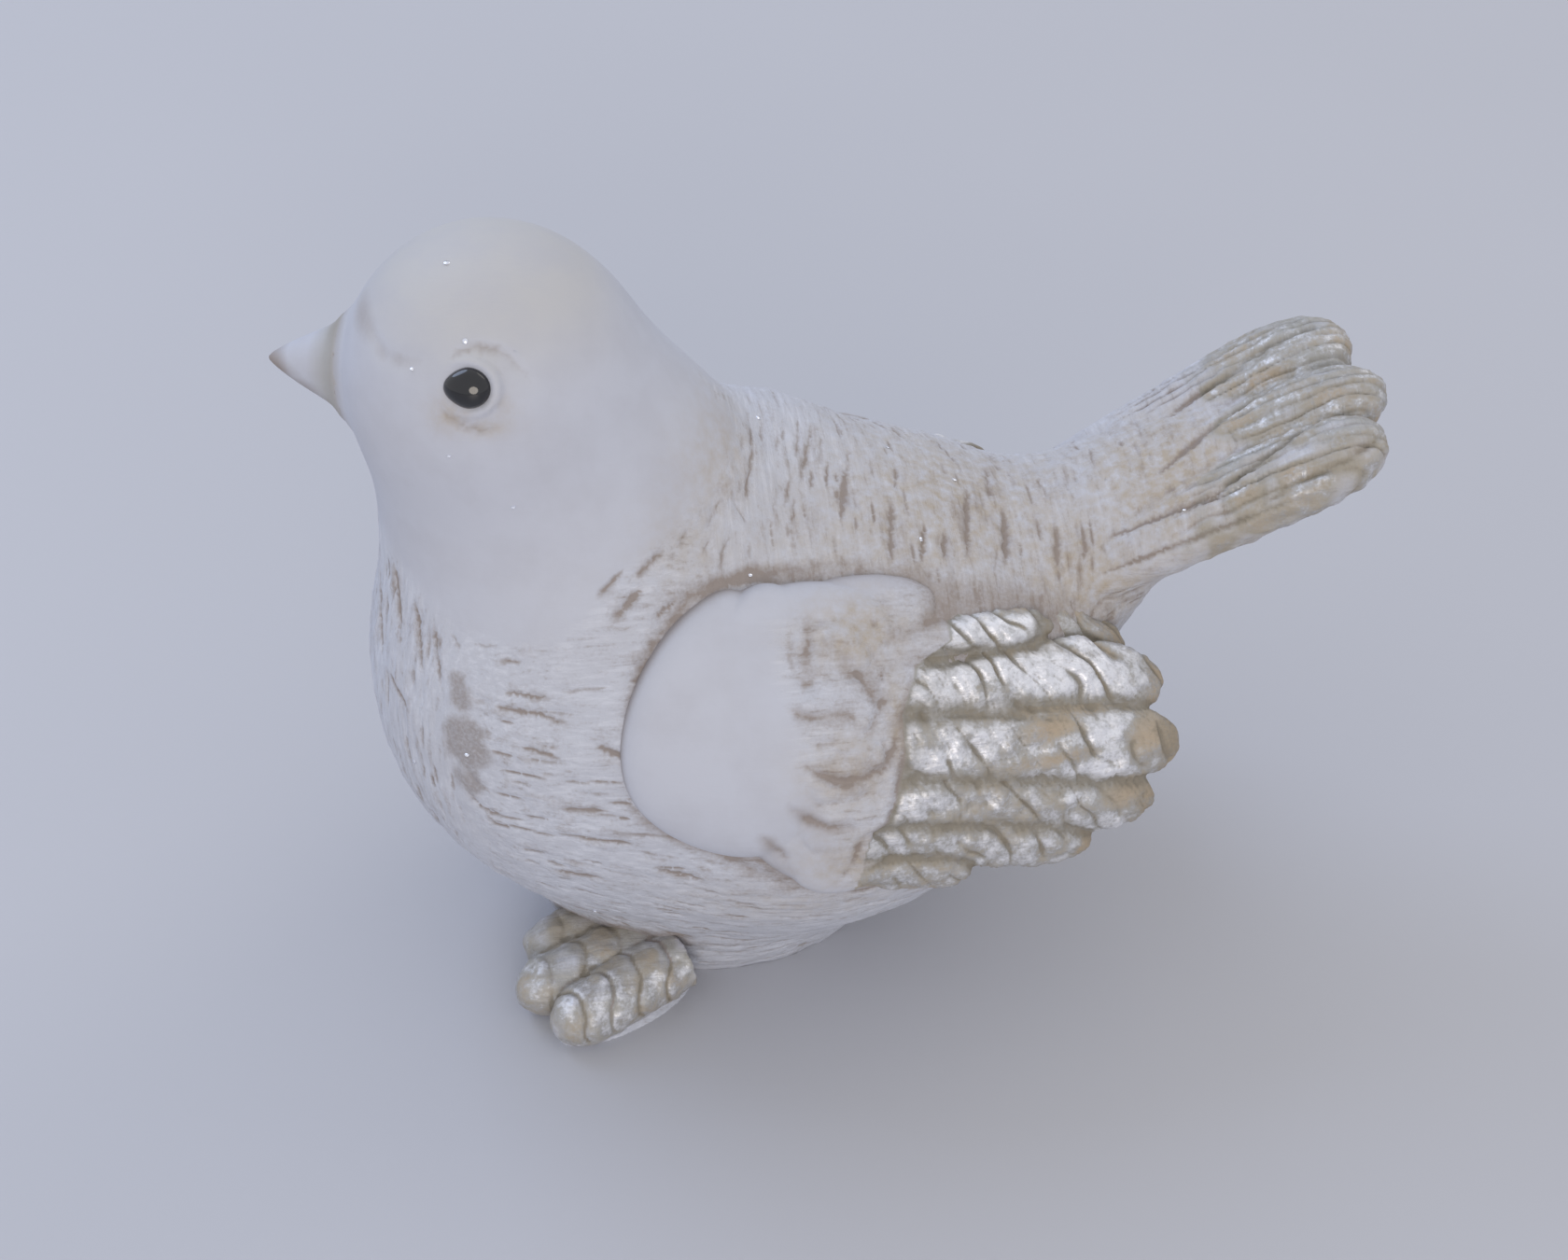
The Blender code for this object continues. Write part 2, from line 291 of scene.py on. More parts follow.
def makeLoft(start, end, normal, halfWidth, halfThickness, widthAt):
    start, end = Vector(start), Vector(end)
    turn = facing(end - start, Vector(normal))
    return {
        "start": np.array(start), "length": (end - start).length, "turn": turn,
        "along": np.array(turn.to_3x3().col[0]), "across": np.array(turn.to_3x3().col[1]),
        "up": np.array(turn.to_3x3().col[2]),
        "halfWidth": halfWidth, "halfThickness": halfThickness, "widthAt": widthAt,
    }


def addLoft(loft, stations=22, sides=36):
    clearSelection()
    bpy.ops.mesh.primitive_circle_add(vertices=sides, radius=mm, fill_type="NGON")
    piece = bpy.context.object
    steps = np.sin(np.pi / 2 * (np.arange(stations) + 0.5) / stations)
    widths = loft["widthAt"](steps)
    length = loft["length"] * mm
    editWhole(piece)
    first = (loft["halfThickness"] * widths[0], loft["halfWidth"] * widths[0], 1)
    bpy.ops.transform.resize(value=first, center_override=(0, 0, 0))
    bpy.ops.transform.translate(value=(0, 0, steps[0] * length))
    for i in range(1, stations):
        lift = (0, 0, (steps[i] - steps[i - 1]) * length)
        bpy.ops.mesh.extrude_region_move(TRANSFORM_OT_translate={"value": lift})
        ratio = widths[i] / widths[i - 1]
        bpy.ops.transform.resize(value=(ratio, ratio, 1), center_override=(0, 0, steps[i] * length))
    bpy.ops.object.mode_set(mode="OBJECT")
    zToX = Matrix(((0, 0, 1, 0), (0, 1, 0, 0), (-1, 0, 0, 0), (0, 0, 0, 1)))
    return settle(piece, loft["start"], loft["turn"] @ zToX)


# for each point: its loft, share along it, mm across and up, mm off its skin and off the next loft's
def loftPlace(points, lofts):
    best = np.full(len(points), 1e6)
    rival = np.full(len(points), 1e6)
    owner = np.full(len(points), -1)
    place = np.zeros((len(points), 3))
    for k, loft in enumerate(lofts):
        offset = points - loft["start"]
        t = offset @ loft["along"] / loft["length"]
        width = np.maximum(0.12, loft["widthAt"](np.clip(t, 0, 1)))
        across = offset @ loft["across"]
        up = offset @ loft["up"]
        ratio = np.hypot(across / loft["halfWidth"], up / loft["halfThickness"]) / width
        skin = np.abs(ratio - 1) * loft["halfThickness"] * width
        skin = np.where((t < -0.02) | (t > 1.05), 1e6, skin)
        nearer = skin < best
        rival = np.where(nearer, best, np.minimum(rival, skin))
        best[nearer] = skin[nearer]
        owner[nearer] = k
        place[nearer] = np.stack((t, across, up), axis=1)[nearer]
    return owner, place[:, 0], place[:, 1], place[:, 2], best, rival


# carved strokes: a stroke runs over the surface and leaves a groove that is deepest at its middle

def along(path, step=0.2):
    path = np.array(path, dtype=float)
    lengths = np.concatenate(([0], np.cumsum(np.linalg.norm(np.diff(path, axis=0), axis=1))))
    at = np.linspace(0, lengths[-1], max(3, int(lengths[-1] / step)))
    dense = np.stack([np.interp(at, lengths, path[:, k]) for k in range(3)], axis=1)
    for turn in range(3):
        dense[1:-1] = (dense[:-2] + 2 * dense[1:-1] + dense[2:]) / 4
    return dense


def carve(groove, tree, samples, width, depth, taper=0.6):
    count = len(samples)
    for i, sample in enumerate(samples):
        t = (i + 0.5) / count
        fade = min(1.0, (1 - abs(2 * t - 1)) / taper) ** 0.7
        near, index, gap = tree.find(sample)
        w = width * (0.55 + 0.45 * fade)
        for spot, index, gap in tree.find_range(near, 2.2 * w):
            value = depth * fade * math.exp(-(gap / w) ** 2)
            if value > groove[index]:
                groove[index] = value


def wander(tree, points, flow, start, length, step=0.25):  # a path that follows the flow over the surface
    path = [points[start]]
    heading = flow[start]
    index = start
    for i in range(int(length / step)):
        way = flow[index] if flow[index] @ heading >= 0 else -flow[index]
        heading = 0.8 * heading + 0.2 * way
        heading = heading / max(1e-6, np.linalg.norm(heading))
        near, index, gap = tree.find(path[-1] + heading * step)
        path.append(points[index])
    return path


# wings: pads laid on the flank, covert scallops, and flight feathers with slanting gouges and fine barbs

wing = {
    # middle and half size as a share along and degrees down the flank, and lift in mm
    "pads": (
        ((-0.21, 56), (0.35, 30), 2.8),
        ((0.04, 67), (0.34, 36), 1.9),
        ((0.26, 42), (0.30, 10), 1.2),
        ((0.00, 93), (0.17, 9), 2.2),
        ((0.06, 82), (0.17, 8), 2.5),
        ((0.10, 70), (0.17, 8), 2.7),
        ((0.14, 58), (0.17, 8), 2.8),
        ((0.18, 47), (0.16, 8), 2.6),
        ((0.06, 44), (0.36, 13.5), 2.2),
        ((-0.02, 37), (0.17, 8.2), 2.5),
    ),
    "padDepth": 3.0,
    # root on the flank, tip in mm, half width and half thickness
    "feathers": (
        ((0.36, 46), (37.2, -15.0, 42.4), 5.0, 2.1),
        ((0.30, 50), (27.5, -17.5, 49.4), 2.8, 2.2),
        ((0.26, 57), (40.6, -19.0, 40.6), 5.6, 2.6),
        ((0.22, 69), (41.8, -23.0, 35.0), 5.6, 2.7),
        ((0.17, 80), (39.2, -25.0, 28.9), 5.0, 2.7),
        ((0.12, 89), (31.5, -27.0, 25.8), 4.4, 2.5),
        ((0.05, 97), (17.5, -29.5, 25.6), 3.6, 2.3),
    ),
    "featherLift": -0.4,
    "reach": 33.0,          # mm from the middle beyond which the relief is pressed flatter
    "rightSag": 1.5,        # mm that the right wing's feather tips hang lower
    "voxel": 0.28,
    "triangles": 130000,
    "barbSpacing": 3.9,     # mm along the feather between gouges
    "gougeShare": 0.10,     # half a gouge's width as a share of that
    "barbSlant": 0.85,
    "seamWidth": 0.45,
    "seamDepth": 0.35,
    "barbDepth": 0.42,
    # how silvery and how golden each feather is
    "leafed": (0.8, 0.85, 0.95, 1.0, 0.85, 0.8, 0.65),
    "golden": (0.7, 0.1, 0.2, 0.25, 0.3, 0.3, 0.45),
    # where the coverts end: heights, and how far back
    "covertEnd": ((27.0, 29.8, 34.4, 35.6, 37.9, 42.3, 46.8, 50.6, 52.0),
                  (0.7, 2.6, 4.1, 6.8, 7.8, 8.9, 9.1, 10.7, 15.0)),
    # how far the right wing hangs below the left one: how far back, and mm down
    "rightFall": ((-10, 15, 40), (0.5, 4.0, 6.0)),
    # carved lines: path in mm on the left wing, half width, depth
    "lines": (
        (((-3.8, -27.8, 49.5), (-2.0, -28.6, 48.5), (0.5, -28.9, 48.4), (2.7, -28.9, 48.5),
          (4.4, -29.5, 47.0)), 0.45, 0.4),
        (((-2.6, -30.8, 44.1), (-0.5, -31.7, 42.5), (2.0, -32.1, 41.7), (4.5, -31.9, 41.8),
          (6.9, -30.9, 42.5), (8.0, -29.7, 44.3), (8.3, -28.4, 46.4)), 0.55, 0.7),
        (((-4.1, -32.2, 39.4), (-2.2, -32.5, 37.4), (0.2, -33.2, 36.3), (2.5, -33.2, 36.0),
          (4.5, -33.2, 35.3)), 0.5, 0.6),
        (((-7.0, -32.4, 35.4), (-4.7, -32.2, 32.5), (-3.7, -32.0, 29.5)), 0.4, 0.3),
        (((10.7, -24.7, 50.6), (9.1, -27.8, 46.8), (8.9, -30.4, 42.3), (7.8, -31.9, 37.9), (6.8, -32.6, 35.6),
          (4.1, -33.3, 34.4), (2.6, -33.2, 29.8), (0.7, -33.0, 27.1)), 0.5, 0.5),
        (((-0.5, -20.4, 56.0), (-0.9, -24.7, 53.4), (-0.6, -27.4, 50.3)), 0.5, 0.3),
        (((3.8, -25.4, 52.7), (5.2, -26.8, 50.8), (6.2, -28.1, 48.9), (8.1, -27.0, 48.6)), 0.55, 0.5),
        (((10.8, -24.7, 50.6), (15.4, -23.4, 50.2), (18.3, -22.3, 50.2), (19.8, -21.6, 50.6)), 0.45, 0.6),
        (((27.7, -14.4, 50.5), (26.5, -18.6, 50.5), (25.1, -20.7, 48.8)), 0.6, 0.7),
        (((10.9, -27.5, 46.5), (17.8, -26.6, 44.9), (24.3, -26.0, 43.1), (28.7, -25.5, 41.9)), 0.4, 0.5),
    ),
    # soft spots on the left wing: place, reach in mm and strength
    "lumpy": (
        ((5.0, -23.5, 53.5), (6.0, 5.0, 4.5), 1.0),
        ((3.0, -31.0, 33.0), (6.0, 6.0, 6.0), 0.6),
        ((4.0, -29.0, 44.0), (6.0, 6.0, 7.0), 0.5),
    ),
    "oldGold": (
        ((26.3, -26.7, 41.9), (4.5, 4.0, 1.8), 1.0),
        ((38.0, -24.5, 38.0), (3.4, 4.0, 2.5), 0.95),
        ((35.5, -27.0, 32.0), (3.5, 4.0, 2.2), 0.9),
        ((26.0, -28.0, 38.6), (7.0, 5.0, 1.3), 0.8),
    ),
    "goldByRump": (((31.0, -13.0, 49.0), (8.0, 5.0, 3.0), 1.0),),
    # painted highlights on the left wing, near-white silver where the feathers catch the light: place, reach
    # in mm and strength
    "paintedHighlights": (
        ((12.5, -28.5, 41.5), (2.3, 2.5, 2.0), 1.2),
        ((17.0, -27.5, 40.8), (2.0, 2.5, 2.0), 1.1),
        ((13.0, -26.5, 46.0), (2.4, 2.5, 1.4), 1.0),
        ((24.0, -27.0, 40.0), (1.6, 2.5, 2.2), 0.9),
        ((19.5, -25.5, 45.5), (3.5, 2.5, 1.6), 0.9),
        ((24.0, -19.5, 51.5), (4.0, 2.5, 1.5), 0.9),
    ),
    "stained": (
        ((5.0, -22.5, 54.5), (6.5, 5.0, 4.0), 1.0),
        ((4.0, -31.0, 31.0), (7.0, 7.0, 5.0), 0.9),
        ((8.5, -27.5, 45.0), (1.6, 5.0, 8.0), 1.0),
        ((3.0, -30.5, 42.0), (5.5, 5.0, 6.0), 0.8),
        ((14.0, -20.0, 53.5), (6.0, 5.0, 2.5), 0.6),
    ),
}


def addPad(middle, half, lift, side):  # a ball whose top lies on the flank, domed, with a steep rim
    clearSelection()
    bpy.ops.mesh.primitive_uv_sphere_add(segments=72, ring_count=36, radius=1)
    piece = bpy.context.object
    ball = readPoints(piece.data) * mm
    reach = np.minimum(1, np.hypot(ball[:, 0], ball[:, 1]))
    a = np.arctan2(ball[:, 1], ball[:, 0])
    top = lift * np.sqrt(1 - reach ** 5)
    height = np.where(ball[:, 2] > -0.001, top, -wing["padDepth"])
    share = middle[0] + half[0] * reach * np.cos(a)
    down = middle[1] + half[1] * reach * np.sin(a)
    writePoints(piece.data, flank(share, down, height, side)[0])
    return piece


def addFeathers(side):
    lofts = []
    for root, tip, halfWidth, halfThickness in wing["feathers"]:
        start, normal = flank(np.array([root[0]]), np.array([root[1]]), wing["featherLift"], side)
        end = Vector(mirrored(tip, side)) - Vector((0, 0, wing["rightSag"] if side > 0 else 0))
        lofts.append(makeLoft(start[0], end, normal[0], halfWidth, halfThickness, bladeWidth))
    return lofts


# slanting gouges across each feather, cut from its upper edge and dying out below
def gougeFeathers(points, left, lofts, side, seed):
    owner, t, across, up, skin, rival = loftPlace(points, lofts)
    halfWidths = np.array([loft["halfWidth"] for loft in lofts])[owner]
    lengths = np.array([loft["length"] for loft in lofts])[owner]
    high = -side * across / halfWidths
    covertEnd = np.interp(left[:, 2], *wing["covertEnd"])
    onFeather = (1 - ramp(skin, 0.35, 0.8)) * ramp(left[:, 0] - covertEnd, -0.2, 0.9)
    seam = bell(rival - skin, wing["seamWidth"]) * onFeather
    seam *= 0.8 + 0.3 * lumps(points, 3.0, seed + 14)
    march = (t * lengths + wing["barbSlant"] * high * halfWidths) / wing["barbSpacing"] + owner * 0.37
    march += 0.26 * lumps(points, 3.0, seed) + 0.45 * lumps(points, 8.0, seed + 7)
    phase = march - np.floor(march)
    gouge = bell(np.minimum(phase, 1 - phase), wing["gougeShare"])
    gouge *= (0.3 + 0.7 * ramp(high, -0.8, 0.1)) * ramp(lumps(points, 3.4, seed + 1), -0.35, 0.5)
    hair = np.abs(np.sin(np.pi * march * 4.5 + 0.8 * lumps(points, 2.0, seed + 9)))
    relief = 0.12 * np.sin(np.pi * phase) - wing["barbDepth"] * gouge - 0.10 * (1 - hair)
    relief += 0.20 * lumps(points, 1.2, seed + 8) + 0.25 * lumps(points / (1.5, 1, 1), 2.6, seed + 10)
    relief *= onFeather
    relief -= wing["seamDepth"] * seam
    return relief, (owner, t, high, onFeather, seam, phase, gouge)


def carveCoverts(points, side):  # the wing's lines, and the umber that lies along them
    tree = treeOf(points)
    groove = np.zeros(len(points))
    smudge = np.zeros(len(points))
    for path, width, depth in wing["lines"]:
        if side > 0:
            path = [(px, -py, pz - np.interp(px, *wing["rightFall"])) for px, py, pz in path]
        carve(groove, tree, along(path), 1.25 * width, 0.8 * depth, taper=0.7)
        carve(smudge, tree, along(path, step=0.6), 3.6 * width, 1.0, taper=0.5)
    return groove, smudge


def wingWashAndShade(mesh, feather, groove, smudge, lumpy, smooth, seed):  # umber in the wing's carving, and painted shade where the wing lies on the body
    owner, t, high, onFeather, seam, phase, gouge = feather
    points, normals = surface(mesh)
    crease = hollows(mesh, points, normals, 8, 0.12)
    broad = hollows(mesh, points, normals, 60, 0.6)
    offBody = blended(points)[0]
    patchy = np.clip(0.6 + 0.9 * lumps(points, 2.2, seed + 16), 0, 1.3)
    drawn = np.clip(0.85 + 0.5 * lumps(points, 2.6, seed + 17), 0.4, 1.1)
    wash = 0.75 * np.minimum(1, groove / 0.6) * drawn + 0.5 * smudge * patchy
    wash += 0.9 * ramp(crease, 0.1, 0.9) * (1 - 0.7 * smooth)
    wash += 0.45 * lumpy * ramp(lumps(points, 1.9, seed + 18), -0.2, 0.8)
    wash += 0.9 * seam + 0.45 * ramp(broad, 0.15, 0.8) * (1 - smooth)
    # umber and painted shade where the wing lies close on the body
    wash += 0.8 * bell(np.maximum(0, offBody - 0.2), 0.8) * (1 - 0.6 * onFeather)
    return wash + 0.4 * onFeather * gouge


def wingLeaf(points, left, feather, tip, seed):  # old gold and silver on the feathers
    owner, t, high, onFeather, seam, phase, gouge = feather
    patch = 0.5 + 0.5 * lumps(points / (1.8, 1, 1), 3.2, seed + 12)
    gilt = np.array(wing["golden"])[owner] * onFeather * (0.4 + 1.3 * patch)
    golden = spots(left, wing["oldGold"]) * onFeather
    edge = 0.9 * ramp(high, 0.35, 0.85) * ramp(patch, 0.2, 0.6) * onFeather
    rusty = ramp(lumps(points, 4.0, seed + 19), -0.2, 0.4)  # some gouges show the gold, the others the umber
    for more in (tip, golden, spots(left, wing["goldByRump"]), edge, gouge * onFeather * rusty):
        gilt = np.maximum(gilt, more)
    lit = 0.5 + 0.5 * lumps(points / (1.4, 1, 1), 2.6, seed + 6) + 0.25 * np.sin(np.pi * phase)
    leaf = onFeather * np.array(wing["leafed"])[owner] * (0.4 + 0.6 * ramp(lit, 0.25, 0.85))
    leaf *= (1 - 0.7 * seam) * (1 - 0.75 * gilt) * (1 - 0.6 * gouge) * (1 - 0.8 * golden)
    leaf *= 0.5 + 0.5 * ramp(high, -0.95, -0.6)
    # painted highlights: these spots make the silver thick and near white
    bright = spots(left, wing["paintedHighlights"]) * (0.75 + 0.25 * lumps(points, 1.2, seed + 13))
    return gilt, np.maximum(leaf, onFeather * bright * (1 - gouge))


def buildWing(name, side, seed):
    lofts = addFeathers(side)
    parts = [addPad(middle, half, lift, side) for middle, half, lift in wing["pads"]]
    parts += [addLoft(loft) for loft in lofts]
    piece = joinPieces(name, parts)
    fuse(piece, wing["voxel"], 3)
    mesh = piece.data
    points, normals = surface(mesh)
    left = points * (1, -side, 1)  # as if on the left side, for the places in the dictionary
    if side > 0:
        left[:, 2] += np.interp(left[:, 0], *wing["rightFall"])
    relief, feather = gougeFeathers(points, left, lofts, side, seed)
    groove, smudge = carveCoverts(points, side)
    lumpy = spots(left, wing["lumpy"])
    rear = left[:, 0] + 0.25 * (left[:, 2] - 42) + 1.2 * lumps(points, 2.5, seed + 11)
    strip = ramp(left[:, 2] - 0.1 * left[:, 1], 57.5, 59.0)
    smooth = np.maximum(1 - ramp(rear, -3.0, 0.5), strip)
    relief += lumpy * (0.4 * lumps(points, 1.5, seed + 2) + 0.5 * lumps(points, 3.2, seed + 3))
    relief += (1 - smooth) * 0.12 * lumps(points, 1.2, seed + 4) + 0.06 * lumps(points, 5.0, seed + 5)
    relief -= groove * (0.85 + 0.4 * lumps(points, 1.5, seed + 15))
    points = points + normals * relief[:, None]
    out = np.maximum(0, np.abs(points[:, 1]) - wing["reach"])
    points[:, 1] -= np.sign(points[:, 1]) * 0.5 * out
    writePoints(mesh, points)

    points = readPoints(mesh)
    owner, t, high, onFeather, seam, phase, gouge = feather
    wash = wingWashAndShade(mesh, feather, groove, smudge, lumpy, smooth, seed)
    tip = ramp(t + 0.04 * lumps(points, 2.5, seed + 20), 0.84, 0.97) * onFeather
    wash += tip * np.clip(0.6 + 0.4 * lumps(points, 1.8, seed + 21), 0, 0.9)
    gilt, leaf = wingLeaf(points, left, feather, tip, seed)
    keepMasks(mesh, wash=wash.clip(0, 1.5), leaf=leaf.clip(0, 1), gilt=gilt.clip(0, 1),
              stain=spots(left, wing["stained"]), smooth=smooth)
    lighten(piece, wing["triangles"])
    return piece


wingLeft = buildWing("wingLeft", -1, 3)
wingRight = buildWing("wingRight", 1, 23)


# feet: three ringed toes on a thin lip of the cast

foot = {
    # heel and tip on the ground, half width
    "toes": (
        ((-15.0, -18.9), (-30.8, -27.3), 4.3),
        ((-17.0, -15.0), (-34.8, -21.4), 4.3),
        ((-17.0, -10.5), (-33.4, -14.4), 4.2),
    ),
    "halfHeight": 4.2,
    "height": 3.0,
    "heelRise": 1.6,    # times the height
    "lip": ((-22.2, -21.9, 0.0), (9.2, 3.7, 0.7), 28),
    "rings": 4.5,
    "ringed": (1.0, 0.45, 0.45),    # how deep each toe's rings are cut
    "ringWidth": 0.34,  # mm
    "ringDepth": 0.4,
    "leafed": (1.0, 0.8, 0.65),     # how silvery each toe is
    # painted highlights on the left foot's near toe: place, reach in mm and strength
    "paintedHighlights": (
        ((-28.5, -26.0, 6.5), (1.6, 1.6, 1.6), 0.3),
        ((-24.5, -25.0, 7.8), (1.4, 1.6, 1.4), 0.25),
    ),
    "voxel": 0.26,
    "triangles": 50000,
}


def buildFoot(name, side, seed):
    lofts = []
    for heel, tip, halfWidth in foot["toes"]:
        start = mirrored((*heel, foot["height"] * foot["heelRise"]), side)
        end = mirrored((*tip, foot["height"]), side)
        lofts.append(makeLoft(start, end, (0, 0, 1), halfWidth, foot["halfHeight"], toeWidth))
    parts = [addLoft(loft, stations=60) for loft in lofts]
    at, radii, yaw = foot["lip"]
    parts.append(addBall(mirrored(at, side), radii, Matrix.Rotation(math.radians(-side * yaw), 4, "Z")))
    piece = joinPieces(name, parts)
    fuse(piece, foot["voxel"], 3)
    mesh = piece.data
    points, normals = surface(mesh)
    owner, t, across, up, skin, rival = loftPlace(points, lofts)
    lengths = np.array([loft["length"] for loft in lofts])[owner]
    bow = -0.13 * (across / 4) ** 2 + 0.025 * lumps(points, 2.0, seed + 5)
    ringPlace = (t + bow) * foot["rings"] + 0.45 + 0.2 * owner
    fromRing = np.abs(ringPlace - np.round(ringPlace)) * lengths / foot["rings"]
    ring = bell(fromRing, foot["ringWidth"]) * ramp(t, 0.0, 0.1) * (1 - ramp(t, 0.86, 0.95))
    ring *= np.clip(0.75 + 0.5 * lumps(points, 2.4, seed + 6), 0.2, 1.1)
    ring *= ramp(points[:, 2], 1.4, 2.4) * (skin < 0.8) * np.array(foot["ringed"])[owner]
    relief = 0.12 * lumps(points, 0.9, seed) + 0.22 * lumps(points, 2.2, seed + 1)
    relief = relief * ramp(points[:, 2], 0.6, 1.6) - foot["ringDepth"] * ring
    writePoints(mesh, points + normals * relief[:, None])
    points, normals = surface(mesh)
    crease = hollows(mesh, points, normals, 8, 0.10)
    broad = hollows(mesh, points, normals, 60, 0.6)
    offBody = blended(points)[0]
    onLip = 1 - ramp(points[:, 2], 0.7, 1.5)
    wash = 0.8 * ramp(crease, 0.1, 0.9) + 0.4 * ramp(broad, 0.1, 0.8) + 0.4 * ring + 0.15 * (owner > 0)
    # umber and painted shade under the breast, on the toes' tops near the body
    wash += 0.4 * bell(np.maximum(0, offBody - 0.4), 1.6) * ramp(points[:, 2], 2.0, 5.0)
    wash *= 1 - 0.8 * onLip
    leaf = (0.36 + 0.35 * lumps(points, 1.8, seed + 2)) * (1 - onLip) * np.array(foot["leafed"])[owner]
    leaf *= (1 - 0.6 * ramp(crease, 0.1, 0.8)) * (1 - 0.8 * ring)
    # painted highlights on the near toe
    leaf += spots(points * (1, -side, 1), foot["paintedHighlights"]) * (1 - ring)
    # less silver near the body: painted shade under the breast
    leaf *= 1 - 0.4 * bell(np.maximum(0, offBody - 0.4), 3.0)
    gilt = np.clip(0.25 + 0.45 * lumps(points, 2.5, seed + 3), 0, 1) * (1 - onLip)
    keepMasks(mesh, wash=wash.clip(0, 1.5), leaf=leaf.clip(0, 1), gilt=gilt)
    lighten(piece, foot["triangles"])
    return piece


footLeft = buildFoot("footLeft", -1, 41)
footRight = buildFoot("footRight", 1, 51)


# the cast body: clay forms run together, then the beak, eyelids and tail, then the carving

face = {
    "head": (-31.7, 0, 77.4),
    "radius": 15.7,
    "turn": 18.0,           # degrees to the bird's right
    "beakRise": -3.6, "beakReach": 25.35,
    "seatRise": -9.0, "seatReach": 11.0, "seatFill": 0.9,
    "beakHalf": (6.6, 7.6),
    "eyeHalf": (2.5, 2.15, 1.45),
    "eyeTurn": 97.0,        # degrees round from the beak
    "eyeRise": 24.0,
    "lid": 0.55,            # mm from the eye to the middle of its lid
}
tail = {
    # root, tip, half width and half thickness
    "lobes": (
        ((28.0, 7.0, 45.4), (68.0, 10.4, 66.6), (8.2, 5.0)),
        ((28.0, 0.0, 47.0), (69.3, 0.0, 66.2), (6.5, 5.2)),
        ((28.0, -6.5, 46.0), (66.8, -8.6, 65.2), (6.7, 4.8)),
    ),
    "ridge": 1.6,       # mm between the lengthwise ridges
    "depth": 0.4,
    "fineDepth": 0.18,
    "silver": 47.5,     # where the silver begins, mm
}


def headPoint(yaw, rise, distance):  # off the head's middle, by degrees to the left of the beak and up
    a = math.radians(180 - face["turn"] + yaw)
    b = math.radians(rise)
    way = Vector((math.cos(a) * math.cos(b), math.sin(a) * math.cos(b), math.sin(b)))
    return Vector(face["head"]) + way * distance, way


def eyePlace(side):
    middle, outward = headPoint(side * face["eyeTurn"], face["eyeRise"], face["radius"])
    forward = headPoint(0, face["beakRise"], 1)[1]
    return middle, outward, facing(forward, outward)


def addBeak():
    seat = headPoint(0, face["seatRise"], face["seatReach"])[0]
    tip = headPoint(0, face["beakRise"], face["beakReach"])[0]
    return makeLoft(seat, tip, (0, 0, 1), *face["beakHalf"], beakWidth)


def addEyelid(side):  # a ring round the eye
    middle, outward, turn = eyePlace(side)
    clearSelection()
    bpy.ops.mesh.primitive_torus_add(
        major_radius=mm, minor_radius=0.2 * mm, major_segments=64, minor_segments=16)
    long, high = face["eyeHalf"][0] + face["lid"], face["eyeHalf"][1] + face["lid"]
    return settle(bpy.context.object, middle - outward * 0.3, turn, (long, high, 3.2))


def acrossHead(point):  # the same place on the other side of the head
    a = math.radians(180 - face["turn"])
    side = Vector((-math.sin(a), math.cos(a), 0))
    return Vector(point) - 2 * side * side.dot(Vector(point) - Vector(face["head"]))


# smooth head and bib: the height of their lower edge by degrees round the neck, from the nape to the throat
collar = {
    "middle": (-25.0, 0.0),
    "angles": (0, 8, 34, 63, 80, 96, 113, 134, 155, 180),
    "heights": (75.0, 70.0, 67.5, 63.5, 59.6, 55.4, 54.1, 55.0, 58.6, 60.0),
}

